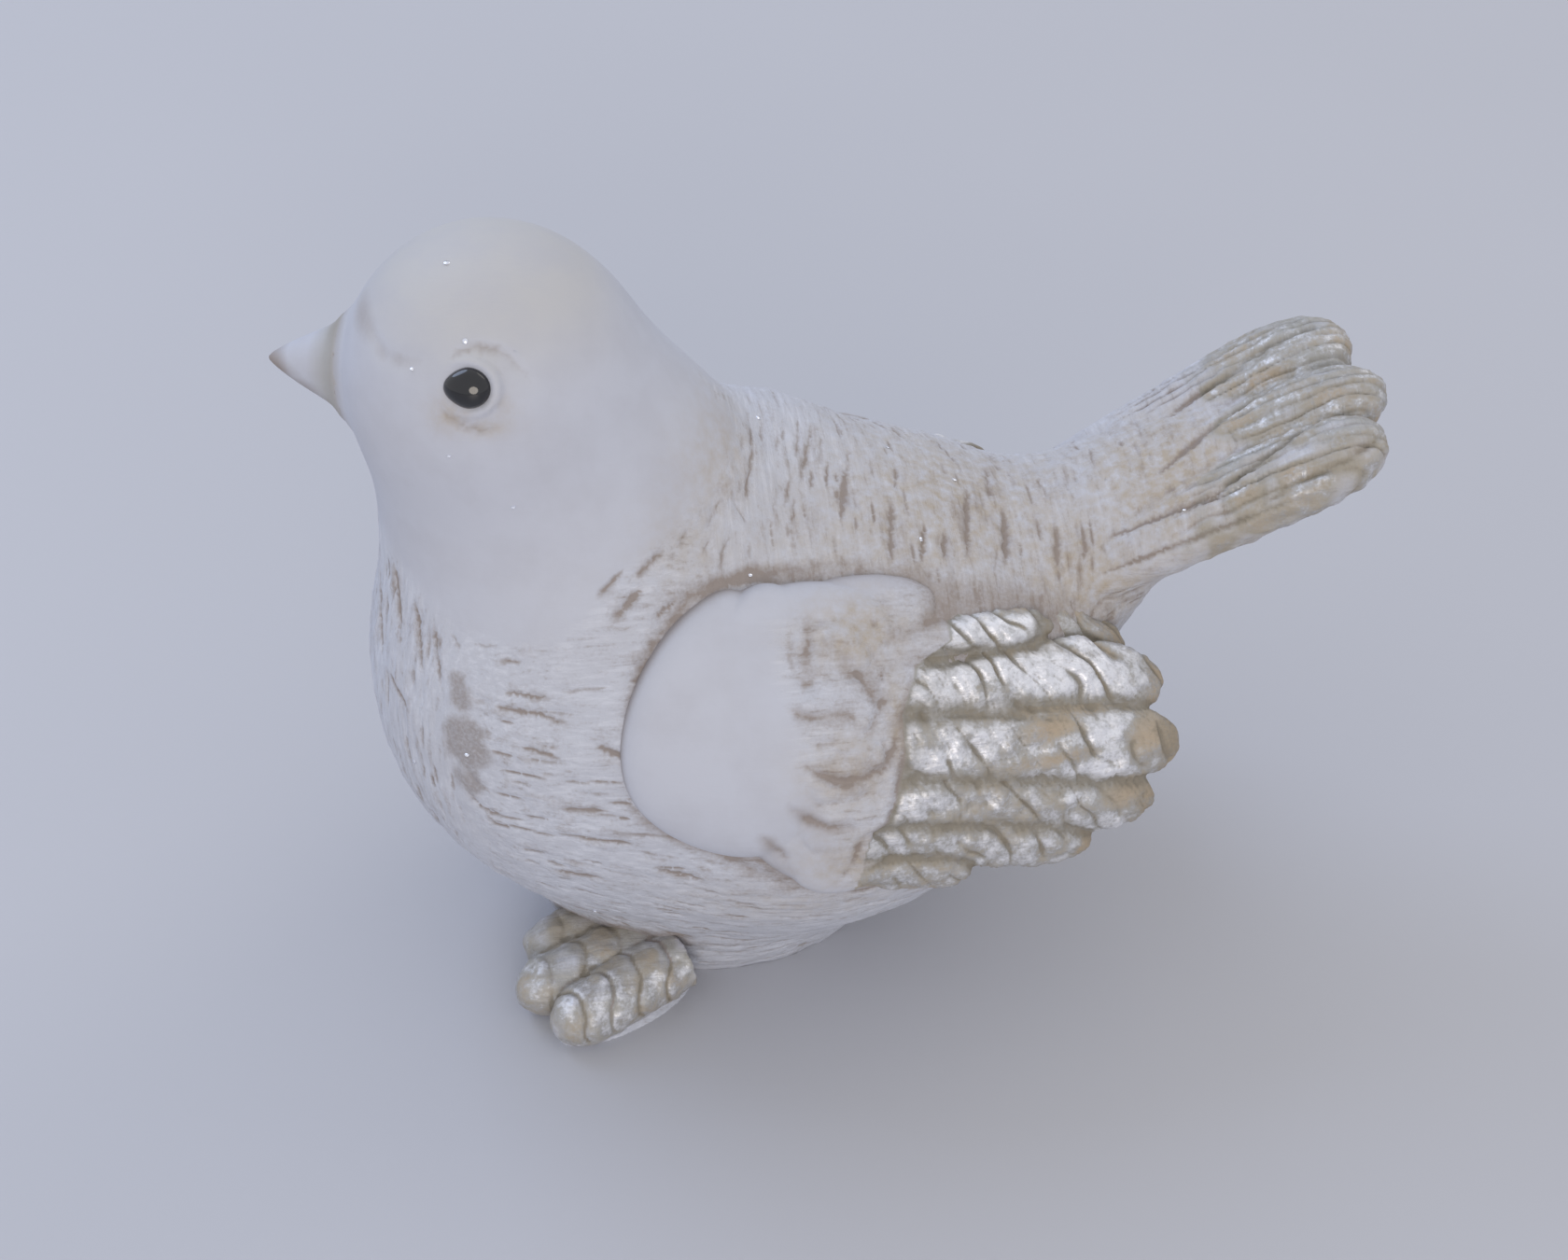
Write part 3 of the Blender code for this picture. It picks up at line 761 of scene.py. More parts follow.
# strokes to be seen one by one on the left side, in mm: path, half width, depth
strokes = (
    (((11.1, -6.6, 59.7), (9.9, -13.9, 57.4)), 0.45, 0.5),
    (((20.6, -1.8, 57.4), (18.6, -12.4, 55.4)), 0.5, 0.5),
    (((24.5, -4.1, 56.0), (23.4, -11.7, 53.8)), 0.5, 0.6),
    (((30.1, -6.2, 55.0), (29.4, -11.2, 52.1)), 0.45, 0.5),
    (((14.5, -8.6, 58.2), (13.4, -13.5, 56.7)), 0.4, 0.4),
    (((2.8, 4.7, 61.7), (0.9, -5.2, 62.2)), 0.4, 0.3),
    (((6.8, -0.8, 61.2), (4.9, -9.7, 59.9)), 0.4, 0.35),
    (((-3.5, -2.6, 67.1), (-5.6, -10.5, 64.1)), 0.4, 0.3),
    (((16.5, -9.4, 57.3), (16.1, -13.0, 56.1)), 0.4, 0.5),
    (((24.1, 4.3, 56.1), (23.0, -3.6, 56.4)), 0.4, 0.35),
    (((33.2, -6.7, 55.0), (32.8, -10.3, 52.5)), 0.4, 0.4),
    (((-21.4, -20.4, 57.0), (-17.7, -18.7, 60.1)), 0.6, 0.5),
    (((-18.6, -18.4, 61.1), (-15.2, -16.7, 63.2)), 0.45, 0.4),
    (((-22.7, -19.1, 59.7), (-19.7, -18.1, 62.1)), 0.4, 0.35),
    (((-16.9, -20.3, 56.8), (-13.7, -18.8, 58.5)), 0.5, 0.4),
    (((-34.5, -20.4, 47.3), (-30.1, -22.5, 47.2), (-26.5, -23.9, 46.3)), 0.45, 0.45),
    (((-33.3, -20.4, 49.1), (-28.4, -22.4, 49.2)), 0.35, 0.35),
    (((-28.3, -24.8, 35.5), (-23.3, -26.2, 35.5)), 0.45, 0.4),
    (((-31.8, -22.8, 43.0), (-27.9, -24.4, 42.3)), 0.4, 0.4),
    (((-26.5, -25.0, 30.7), (-20.5, -26.8, 30.8)), 0.4, 0.35),
    (((-29.8, -22.2, 24.2), (-23.6, -24.5, 24.1)), 0.4, 0.3),
    (((-23.9, -25.0, 44.0), (-21.2, -26.0, 42.9)), 0.45, 0.4),
    (((-18.5, -26.9, 27.1), (-12.4, -28.4, 25.6)), 0.45, 0.35),
    (((-45.1, -2.1, 53.1), (-46.3, -6.5, 44.7)), 0.5, 0.5),
    (((-43.2, -6.3, 57.3), (-43.9, -10.1, 48.6)), 0.5, 0.45),
    (((-41.5, -10.4, 55.1), (-41.8, -13.9, 47.5)), 0.45, 0.4),
    (((-39.9, -13.1, 54.4), (-39.9, -16.4, 46.6)), 0.4, 0.3),
    (((-45.5, -8.9, 43.9), (-43.8, -13.1, 41.7)), 0.4, 0.35),
)
# lines on the left of the face, which the right has too: over the eye, before it, below it
faceLines = (
    (((-36.6, -12.5, 86.1), (-34.9, -12.2, 87.1), (-33.2, -12.1, 87.4), (-31.3, -12.4, 87.1),
      (-29.9, -13.0, 86.5), (-28.5, -13.8, 84.8), (-27.4, -14.4, 83.1)), 0.6, 0.25),
    (((-43.7, -4.1, 86.3), (-43.2, -6.2, 85.7), (-42.4, -8.3, 84.9), (-41.0, -9.9, 85.0),
      (-39.4, -10.8, 85.5), (-37.5, -11.8, 85.9)), 0.9, 0.2),
    (((-37.4, -14.0, 82.4), (-36.8, -14.6, 81.0), (-35.3, -15.3, 80.0), (-33.4, -15.8, 79.6),
      (-31.5, -15.9, 79.9), (-30.6, -15.6, 81.1)), 0.6, 0.22),
)
# the groove in front of the wing and long cuts in the tail, in mm on the left
wingFront = (
    (8.0, -14.0, 58.0), (1.0, -14.6, 58.2), (-6.3, -16.1, 58.8), (-12.7, -18.7, 58.3),
    (-17.1, -21.6, 54.6), (-19.3, -23.9, 50.3), (-19.8, -26.0, 47.0), (-18.2, -28.7, 42.5),
    (-14.5, -30.6, 36.9), (-9.4, -29.7, 29.2), (-1.1, -30.1, 23.8),
)
tailCuts = (
    (((36.0, -8.8, 54.3), (47.1, -9.9, 59.7), (66.4, -4.8, 64.8)), 0.4, 0.6),
    (((42.3, -3.9, 58.6), (49.7, 0.4, 62.1), (58.0, 3.5, 66.0)), 0.5, 0.5),
    (((45.0, 6.0, 60.5), (56.0, 9.0, 66.5), (66.0, 11.0, 70.0)), 0.45, 0.5),
    (((34.0, -11.5, 51.0), (45.0, -12.5, 56.0), (55.0, -13.0, 60.5)), 0.35, 0.4),
    (((52.0, -13.0, 60.5), (62.0, -12.0, 65.0), (67.0, -10.0, 67.0)), 0.5, 0.5),
)
# small strokes scattered along the flow, in mm
scattered = {"count": 1200, "length": (1.2, 5.5), "lean": 0.2, "width": (0.2, 0.36), "depth": (0.04, 0.22)}
# soft spots on the body: place, reach in mm and strength
bodySpots = {
    "umber": (
        ((-54.6, 6.3, 75.0), (1.8, 2.4, 1.6), 1.0),
        ((-52.0, 4.2, 73.6), (2.0, 2.4, 1.6), 0.85),
        ((-49.0, 3.0, 72.0), (2.0, 2.4, 1.7), 0.7),
        ((-44.4, -2.0, 86.0), (1.6, 4.0, 1.6), 0.55),
        ((-47.3, 4.7, 80.8), (1.6, 2.0, 1.2), 0.5),
    ),
    "bare": (
        ((-38.0, -19.4, 41.5), (3.8, 4.5, 4.2), 1.3),
        ((-38.0, -17.8, 47.5), (1.8, 3.0, 3.5), 1.1),
        ((-37.4, -19.5, 36.5), (2.4, 3.0, 3.2), 1.1),
    ),
    "stained": (
        ((-8.0, -8.0, 68.0), (6.0, 12.0, 6.0), 0.6),
        ((-12.0, -14.0, 62.0), (6.0, 8.0, 6.0), 0.55),
        ((15.0, -4.0, 57.0), (28.0, 18.0, 7.0), 0.95),
        ((32.0, -8.0, 50.0), (12.0, 12.0, 8.0), 1.1),
        ((-2.0, -27.0, 22.0), (14.0, 8.0, 5.0), 0.4),
        ((45.0, -3.0, 57.0), (13.0, 13.0, 8.0), 1.25),
        ((62.0, -11.0, 64.5), (5.0, 4.0, 4.0), 1.0),
        ((-36.4, -14.5, 81.0), (2.2, 2.0, 2.0), 0.7),
        ((-33.0, -15.8, 79.8), (3.0, 2.0, 1.0), 0.6),
        ((-31.0, -15.5, 82.0), (1.6, 2.0, 2.0), 0.4),
    ),
}


# which way the strokes run: round the back, down the breast, along the flank
def strokeFlow(points, normals):
    x, y, z = points.T
    onBack = ramp(normals[:, 2], 0.15, 0.6) * ramp(x, -14, -8)
    onBreast = ramp(-normals[:, 0], 0.5, 0.75)
    acrossBack = np.cross((1.0, 0.0, 0.0), normals) * np.sign(y + 0.01)[:, None]
    downBreast, overShoulder, alongFlank = np.array(((0, 0, -1), (0.7, 0, 0.7), (1, 0, -0.12)))
    onShoulder = ramp(z, 50, 56) * ramp(x, -28, -22) * (1 - ramp(x, -12, -6))
    flow = alongFlank * (1 - onBack - onBreast).clip(0)[:, None] + acrossBack * onBack[:, None]
    flow += downBreast * onBreast[:, None]
    flow = flow * (1 - onShoulder)[:, None] + overShoulder * onShoulder[:, None]
    flow -= normals * (flow * normals).sum(axis=1)[:, None]
    return flow / np.maximum(1e-6, np.linalg.norm(flow, axis=1))[:, None], onBack, onBreast


def underWings(points):  # where the wings' pads hide the body
    share, down = flankPlace(points)
    under = np.zeros(len(points), dtype=bool)
    for middle, half, lift in wing["pads"]:
        under |= ((share - middle[0]) / half[0]) ** 2 + ((down - middle[1]) / half[1]) ** 2 < 0.9
    return under & (points[:, 2] < 60) & (points[:, 0] < 30)


def carveBody(points, normals, flow, rough):  # the grooves, and the umber that lies along them
    tree = treeOf(points)
    groove = np.zeros(len(points))
    smudge = np.zeros(len(points))
    for path, width, depth in strokes:
        carve(groove, tree, along(path), 0.85 * width, 0.8 * depth)
    for path, width, depth in faceLines:
        carve(groove, tree, along(path), width, depth, taper=0.8)
        carve(groove, tree, along([acrossHead(p) for p in path]), width, depth, taper=0.8)
    for path, width, depth in tailCuts:
        carve(groove, tree, along(path), width, depth, taper=0.5)
    for path in (wingFront, [(px, -py, pz - 2.5) for px, py, pz in wingFront]):
        carve(groove, tree, along(path), 0.9, 0.35, taper=0.3)
        carve(smudge, tree, along(path, step=0.8), 1.5, 1.0, taper=0.5)
    for path, width, depth in strokes:
        carve(smudge, tree, along(path, step=0.6), 3.0 * width, 0.6)
    for start in rng.choice(np.flatnonzero(rough), size=scattered["count"], replace=False):
        length = rng.uniform(*scattered["length"])
        flow[start] += rng.normal(0, scattered["lean"]) * np.cross(normals[start], flow[start])
        width = rng.uniform(*scattered["width"])
        depth = rng.uniform(*scattered["depth"])
        carve(groove, tree, wander(tree, points, flow, start, length), width, depth)
    return groove, smudge


def washAndShadeAtJoints(points, x, under):  # 1 where a wing or foot meets the body, fading over a millimetre or two: umber in the joint and painted shade under the wing
    jointWashAndShade = under * ramp(x, 5, 9)
    reach = 1.2 + 0.7 * ramp(x, 8, 13)  # mm: the umber and painted shade lie broader under the flight feathers
    for neighbour in (wingLeft, wingRight, footLeft, footRight):
        theirs = readPoints(neighbour.data)
        near = treeOf(theirs)
        close = (points > theirs.min(axis=0) - 2) & (points < theirs.max(axis=0) + 2)
        for i in np.flatnonzero(close.all(axis=1) & ~under):
            jointWashAndShade[i] = max(jointWashAndShade[i], bell(near.find(points[i])[2], reach[i]))
    return jointWashAndShade * (1 - 0.5 * ramp(x, 26, 30))


def buildBody():
    balls = [addBall(at, radii, turn) for (at, radii, pitch), turn in zip(body["forms"], turns)]
    clay = joinPieces("bird", balls)
    fuse(clay, body["clay"], 2)
    writePoints(clay.data, ontoBody(readPoints(clay.data), share=0.6)[0])
    beak = addBeak()
    lobes = [makeLoft(*ends, (0, 0, 1), *halves, lobeWidth) for *ends, halves in tail["lobes"]]
    parts = [clay, addLoft(beak), addEyelid(-1), addEyelid(1)] + [addLoft(lobe) for lobe in lobes]
    piece = joinPieces("body", parts)
    fuse(piece, body["voxel"], 3)
    mesh = piece.data
    points, normals = surface(mesh)
    print("body", len(points), "points")

    # where it is smooth, where the wings lie, where the tail is
    x, y, z = points.T
    flow, onBack, onBreast = strokeFlow(points, normals)
    angle = np.degrees(np.arctan2(np.abs(y), x - collar["middle"][0]))
    edge = np.interp(angle, collar["angles"], collar["heights"])
    smooth = ramp(z - edge + 1.2 * lumps(points, 5.0, 5), -1.5, 1.5) * (1 - ramp(x, -6, -2))
    under = underWings(points)
    offBody = blended(points)[0]
    owner, t, across, up, skin, rival = loftPlace(points, lobes)
    onTail = (1 - ramp(skin, 0.3, 0.8)) * ramp(offBody, 0.0, 1.0) * ramp(x, 33, 38)
    rough = (smooth < 0.35) & ~under & (onTail < 0.3) & (z > 1.0) & (x > -52)
    groove, smudge = carveBody(points, normals, flow, rough)

    # lengthwise ridges on the tail
    wave = across + 0.5 * lumps(points / (9, 2, 9), 1.0, 9) + 0.2 * lumps(points, 2.5, 19)
    furrow = np.abs(np.sin(np.pi * wave / tail["ridge"])) ** 0.6
    fineFurrow = np.abs(np.sin(np.pi * wave / tail["ridge"] * 2.7 + 1.0))
    lengthwise = onTail * ramp(x, 38, 48)
    relief = -lengthwise * tail["depth"] * (1 - furrow)
    relief *= np.clip(0.8 + 0.7 * lumps(points, 4.0, 10), 0.1, 1.5)
    relief -= lengthwise * tail["fineDepth"] * (1 - fineFurrow)
    relief += lengthwise * 0.22 * lumps(points, 1.3, 20)
    plain = (1 - smooth) * (1 - lengthwise)
    # brushed ridges: round the back, down the breast, along the flank
    bent = points + 0.5 * np.stack([lumps(points, 2.5, seed) for seed in (21, 22, 23)], axis=1)
    backLines = lumps(bent / (0.75, 4.5, 4.5), 1.0, 24)
    breastLines = lumps(bent / (0.75, 0.75, 4.5), 1.0, 25)
    flankLines = lumps(bent / (4.5, 0.8, 0.8), 1.0, 26)
    brushed = backLines * onBack + (1 - onBack) * (breastLines * onBreast + flankLines * (1 - onBreast))
    relief += plain * (0.12 * brushed + 0.07 * lumps(points, 1.1, 12) + 0.14 * lumps(points, 3.0, 13))
    relief += 0.05 * lumps(points, 6.0, 14)
    # a low roll round the beak's seat
    beakT, beakSkin = [loftPlace(points, [beak])[k] for k in (1, 4)]
    seat = np.exp(-(np.maximum(0, offBody - 0.2) / 1.3) ** 2 - (beakSkin / 1.4) ** 2) * ramp(-x, 40, 42)
    relief += face["seatFill"] * seat
    relief -= groove
    writePoints(mesh, points + normals * relief[:, None])

    points, normals = surface(mesh)
    crease = hollows(mesh, points, normals, 8, 0.10)
    broad = hollows(mesh, points, normals, 60, 0.5)
    jointWashAndShade = washAndShadeAtJoints(points, x, under)
    patchy = np.clip(0.75 + 0.6 * lumps(points, 5.0, 27), 0.2, 1.2)
    fleck = np.clip(0.6 + 0.8 * lumps(points, 1.8, 29), 0, 1.3)
    drawn = np.clip(0.85 + 0.9 * lumps(points, 1.5, 30), 0.3, 1.15)
    wash = 0.85 * np.minimum(1, groove / 0.5) * drawn + 0.5 * smudge * fleck
    wash += 0.7 * ramp(crease, 0.15, 1.0) * patchy + 0.35 * ramp(brushed, 0.1, 0.8) * plain * patchy
    # umber and painted shade where wings and feet meet the body
    wash += 0.4 * ramp(broad, 0.1, 0.8) * (1 - smooth) + 0.85 * jointWashAndShade + 0.5 * lengthwise * (1 - furrow)
    wash += 0.4 * seat + spots(points, bodySpots["umber"])
    silver = ramp(x - tail["silver"] - 0.25 * (y + 2) + 2.2 * lumps(points, 3.0, 15), -1.5, 2.0) * onTail
    nearLobe = ramp(-y, 5.5, 8.5)
    silver *= 1 - 0.8 * nearLobe * ramp(lumps(points, 2.6, 28), -0.6, 0.6)
    leaf = silver * (0.2 + 0.16 * furrow) * (0.85 + 0.6 * lumps(points / (3, 1, 3), 1.2, 16))
    bare = ramp(spots(points, bodySpots["bare"]) + 0.25 * lumps(points, 1.3, 17), 0.5, 0.85)
    # painted warm light: a cream tint where the crown faces up
    warm = ramp(normals[:, 2], 0.2, 0.9) * ramp(z, 78, 88) * ramp(-x, 15, 22)
    wash *= 1 - 0.35 * silver
    gilt = silver * (0.45 + 0.7 * lumps(points / (4, 1, 4), 1.5, 18))
    onBeak = ramp(-x, 45.0, 46.5) * np.where(beakSkin < 2, beakT, 0)
    keepMasks(mesh, wash=wash.clip(0, 1.5), leaf=leaf.clip(0, 1), gilt=gilt.clip(0, 1),
              stain=spots(points, bodySpots["stained"]), smooth=smooth, warm=warm, bare=bare,
              back=onBack, breast=onBreast, beak=onBeak)
    lighten(piece, body["triangles"])
    return piece


cast = buildBody()


def cutFlat(piece, height):
    editWhole(piece)
    bpy.ops.mesh.bisect(
        plane_co=(0, 0, height * mm), plane_no=(0, 0, 1), use_fill=True, clear_inner=True, threshold=1e-7)
    bpy.ops.object.mode_set(mode="OBJECT")


for piece in (cast, footLeft, footRight):
    cutFlat(piece, 0)
    points = readPoints(piece.data)
    points[:, 2] = np.maximum(points[:, 2], 0)
    writePoints(piece.data, points)


# eyes: domes of the cast, painted in gloss

def buildEye(name, side):
    middle, outward, turn = eyePlace(side)
    clearSelection()
    bpy.ops.mesh.primitive_uv_sphere_add(segments=64, ring_count=32, radius=mm)
    piece = bpy.context.object
    cutFlat(piece, -0.6)
    points = readPoints(piece.data)
    front = ramp(points[:, 0], -0.2, 1.0)
    points[:, 1] *= 1 - 0.18 * front  # a little narrower towards the beak
    writePoints(piece.data, points)
    settle(piece, middle, turn, face["eyeHalf"])
    piece.name = name
    piece.data.name = name
    return piece


eyeLeft = buildEye("eyeLeft", -1)
eyeRight = buildEye("eyeRight", 1)


# glitter caught in the paint: thin six-sided flakes, each tilted a little

glitter = {
    "seen": ((-39.7, -11.2, 84.8), (-36.3, -15.3, 76.3), (-30.5, -16.3, 70.5), (-38.0, -19.6, 40.2),
             (-27.9, -27.1, 6.4), (9.3, -24.1, 51.8)),
    "tilt": (-0.25, -0.35, 1.0),    # the way the seen ones face
    "others": 26,
    "radius": 0.32,
    "spread": (0.7, 1.15),  # how much smaller or larger a flake may be
    "lean": 0.12,
    "thickness": 0.1,
    "rise": 0.04,
}


def addFlake(at, way):
    clearSelection()
    radius = glitter["radius"] * mm * rng.uniform(*glitter["spread"])
    bpy.ops.mesh.primitive_cylinder_add(vertices=6, radius=radius, depth=glitter["thickness"] * mm)
    flake = bpy.context.object
    editWhole(flake)
    bpy.ops.mesh.bevel(offset=0.02 * mm, segments=1)
    bpy.ops.object.mode_set(mode="OBJECT")
    return settle(flake, at, Vector(way).to_track_quat("Z", "Y").to_matrix().to_4x4())


def buildGlitter():
    points, normals = surface(cast.data)
    tree = treeOf(points)
    flakes = []
    for at in glitter["seen"]:
        near, index, gap = tree.find(at)
        flakes.append(addFlake(near + Vector(normals[index]) * glitter["rise"], glitter["tilt"]))
    inside = np.flatnonzero((points[:, 2] > 6) & (points[:, 0] > -44) & (points[:, 0] < 50))
    for index in rng.choice(inside, size=glitter["others"], replace=False):
        way = Vector(normals[index]) + Vector(rng.normal(0, glitter["lean"], 3))
        flakes.append(addFlake(Vector(points[index]) + Vector(normals[index]) * glitter["rise"], way))
    return joinPieces("glitter", flakes)


flakes = buildGlitter()
print("pieces built")


# materials

def fromHex(code):  # sRGB hex to linear
    channels = [int(code[i:i + 2], 16) / 255 for i in (1, 3, 5)]
    return (*[c / 12.92 if c <= 0.04045 else ((c + 0.055) / 1.055) ** 2.4 for c in channels], 1.0)


def fillInputs(tree, node, inputs):  # each input gets its value, or a link from another node's output
    for key, value in inputs.items():
        if isinstance(value, bpy.types.NodeSocket):
            tree.links.new(value, node.inputs[key])
        else:
            node.inputs[key].default_value = value


def addNode(tree, kind, inputs, output=0, **settings):
    node = tree.nodes.new("ShaderNode" + kind)
    for key, value in settings.items():
        setattr(node, key, value)
    fillInputs(tree, node, inputs)
    return node.outputs[output]


def newMaterial(name):
    material = bpy.data.materials.new(name)
    material.use_nodes = True
    tree = material.node_tree
    shader = tree.nodes["Principled BSDF"]
    return material, partial(addNode, tree), partial(fillInputs, tree, shader)


paint = {
    "white": "#c3c6d0",     # cool whitewash
    "pale": "#d6d9e3",      # its brushed ridges
    "bib": "#c1c4cf",       # smoother and bluer on the head, bib and shoulder
    "crown": "#bebdbd",     # painted warm light: a cream tint on the upward-facing crown
    "thin": "#b5b6bf",      # where the whitewash is thinner
    "brown": "#8d8077",     # umber wash left in the carving, and painted shade where wings and feet meet the body
    "tan": "#b0a596",       # the same wash, wiped thin
    "bare": "#9d9899",      # the patch where the whitewash is off
    "dull": "#b7b7b8",      # champagne silver, worn
    "bright": "#f1f2f8",    # and rubbed on thick, near white, which also gives the painted highlights
    "gold": "#af9c81",      # old gold under the silver
    "olive": "#9a978d",     # olive umber under both
    "grime": "#827c70",     # and the same, thick in the creases, and painted shade on the silvered parts near the body
    "horn": "#97927f",      # the band round the beak
}
paint = {name: fromHex(code) for name, code in paint.items()}


# Whitewashed cast polyresin: chalky matte white wiped over an umber wash, which stays in the carving and
# gives it soft brown lines and mottling, with champagne silver rubbed on the feather ends, tail and toes.
# Its masks also carry painted shade at the joints and under the breast, painted highlights on the silver and
# painted warm light on the crown.
def whitewashedResin():
    material, add, fill = newMaterial("whitewashed_polyresin")
    names = ("wash", "leaf", "gilt", "stain", "smooth", "warm", "bare", "beak", "back", "breast")
    wash, leaf, gilt, stain, smooth, warm, bare, beak, back, breast = [
        add("Attribute", {}, "Fac", attribute_name=name) for name in names]
    place = add("TexCoord", {}, "Object")
    inMm = add("Mapping", {"Vector": place, "Scale": (1000, 1000, 1000)})
    fine, middle, broad = [
        add("TexNoise", {"Vector": inMm, "Scale": perMm, "Detail": 3.0, "Roughness": 0.6})
        for perMm in (2.6, 0.75, 0.16)]
    # brush marks half a millimetre wide, drawn out round the back, down the breast and along the flank
    marks = []
    for stretch in ((1.8, 0.22, 0.22), (1.8, 1.8, 0.22), (0.22, 1.8, 1.8)):
        drawn = add("Mapping", {"Vector": inMm, "Scale": stretch})
        drawnOut = {"Vector": drawn, "Scale": 1.0, "Detail": 4.0, "Roughness": 0.6, "Distortion": 0.3}
        marks.append(add("TexNoise", drawnOut))
    brush = add("Mix", {0: breast, 2: marks[2], 3: marks[1]})
    brush = add("Mix", {0: back, 2: brush, 3: marks[0]})
    textured = add("Math", {0: 1.0, 1: smooth}, operation="SUBTRACT", use_clamp=True)

    # whitewash: painted warm light on the upward-facing crown, paler on the brushed ridges, tan where it is
    # stained
    pale = add("MapRange", {"Value": brush, "From Min": 0.5, "From Max": 0.36, "To Max": 0.6})
    thin = add("MapRange", {"Value": broad, "From Min": 0.4, "From Max": 0.65, "To Max": 0.35})
    tan = add("MapRange", {"Value": middle, "From Min": 0.3, "From Max": 0.7, "To Min": 0.3, "To Max": 1.1})
    coats = []  # how much of each colour goes over the ones before it
    first = ((warm, 0.9, "crown"), (pale, textured, "pale"), (thin, 1.0, "thin"), (tan, stain, "tan"))
    for amount, limit, tint in first:
        share = add("Math", {0: amount, 1: limit}, operation="MULTIPLY", use_clamp=True)
        coats.append((share, paint[tint]))

    # umber left in the carving and in thin brush marks, broken up, with painted shade where wings and feet
    # meet the body
    streak = add("MapRange", {"Value": brush, "From Min": 0.53, "From Max": 0.68, "To Max": 0.5})
    streak = add("Math", {0: streak, 1: textured}, operation="MULTIPLY")
    patchy = add("MapRange", {"Value": middle, "From Min": 0.35, "From Max": 0.6})
    total = add("Math", {0: streak, 1: patchy, 2: wash}, operation="MULTIPLY_ADD")
    breakUp = add("MapRange", {"Value": textured, "To Min": 0.15, "To Max": 0.8})
    loose = add("Math", {0: fine, 1: 0.5}, operation="SUBTRACT")
    total = add("Math", {0: loose, 1: breakUp, 2: total}, operation="MULTIPLY_ADD")
    umber = add("MapRange", {"Value": total, "From Min": 0.1, "From Max": 1.05, "To Max": 0.85})
    worn = add("MapRange", {"Value": fine, "From Min": 0.3, "From Max": 0.6, "To Min": 0.55})
    worn = add("Math", {0: worn, 1: bare}, operation="MULTIPLY")
    # the beak: an olive band at its base, brown at the tip
    rise = add("MapRange", {"Value": beak, "From Min": 0.26, "From Max": 0.36, "To Max": 0.5})
    fall = add("MapRange", {"Value": beak, "From Min": 0.62, "From Max": 0.45})
    band = add("Math", {0: rise, 1: fall}, operation="MULTIPLY")
    tip = add("MapRange", {"Value": beak, "From Min": 0.8, "From Max": 0.97, "To Max": 0.75})
    coats += [(umber, paint["brown"]), (worn, paint["bare"]), (band, paint["horn"]), (tip, paint["brown"])]

    # olive umber and old gold under silver, which is thick in places and worn in others
    under = add("Mix", {0: gilt, 6: paint["olive"], 7: paint["gold"]}, 2, data_type="RGBA")
    either = add("Math", {0: leaf, 1: gilt}, operation="MAXIMUM")
    gilded = add("MapRange", {"Value": either, "From Min": 0.04, "From Max": 0.3, "To Max": 0.9})
    blotch = add("Math", {0: fine, 1: 0.5, 2: middle}, operation="MULTIPLY_ADD")
    rubbed = add("Math", {0: blotch, 1: 1.2, 2: -0.9}, operation="MULTIPLY_ADD")
    rubbed = add("Math", {0: rubbed, 1: leaf}, operation="ADD")
    silver = add("MapRange", {"Value": rubbed, "From Min": 0.1, "From Max": 0.5, "To Max": 0.9})
    present = add("MapRange", {"Value": leaf, "From Min": 0.03, "From Max": 0.2})
    silver = add("Math", {0: silver, 1: present}, operation="MULTIPLY")
    # thick, near-white silver, which also carries the painted highlights of the highlight spots
    thick = add("MapRange", {"Value": rubbed, "From Min": 0.4, "From Max": 0.8})
    tone = add("Mix", {0: thick, 6: paint["dull"], 7: paint["bright"]}, 2, data_type="RGBA")
    # umber and painted shade over the gilded parts
    darkWashAndShade = add("Math", {0: umber, 1: gilded}, operation="MULTIPLY")
    coats += [(gilded, under), (silver, tone), (darkWashAndShade, paint["grime"])]
    color = add("Mix", {0: smooth, 6: paint["white"], 7: paint["bib"]}, 2, data_type="RGBA")
    for share, coat in coats:
        color = add("Mix", {0: share, 6: color, 7: coat}, 2, data_type="RGBA")
    clean = add("Math", {0: 1.0, 1: darkWashAndShade}, operation="SUBTRACT", use_clamp=True)
    shine = add("Math", {0: silver, 1: clean}, operation="MULTIPLY")
    metallic = add("Math", {0: shine, 1: 0.5}, operation="MULTIPLY")
    roughness = add("MapRange", {"Value": shine, "To Min": 0.6, "To Max": 0.3})
    roughness = add("Math", {0: fine, 1: 0.1, 2: roughness}, operation="MULTIPLY_ADD")

    # brush marks and fine grain, little of it on the smooth parts
    grain = add("Math", {0: fine, 1: 0.45, 2: brush}, operation="MULTIPLY_ADD")
    share = add("MapRange", {"Value": textured, "To Min": 0.15})
    height = add("Math", {0: grain, 1: share}, operation="MULTIPLY")
    bump = add("Bump", {"Height": height, "Strength": 0.6, "Distance": 0.22 * mm})
    fill({"Base Color": color, "Metallic": metallic, "Roughness": roughness, "Normal": bump})
    return material


# Gloss enamel, brushed on: near black, wet-looking, with one soft highlight.
def glossEnamel():
    material, add, fill = newMaterial("black_gloss_enamel")
    place = add("TexCoord", {}, "Object")
    speck = add("TexNoise", {"Vector": place, "Scale": 900.0, "Detail": 2.0})
    tone = add("Mix", {0: speck, 6: fromHex("#0b0b0e"), 7: fromHex("#17161b")}, 2, data_type="RGBA")
    bump = add("Bump", {"Height": speck, "Strength": 0.05, "Distance": 0.05 * mm})
    fill({"Base Color": tone, "Roughness": 0.08, "Coat Weight": 0.6, "Coat Roughness": 0.03, "Normal": bump})
    return material


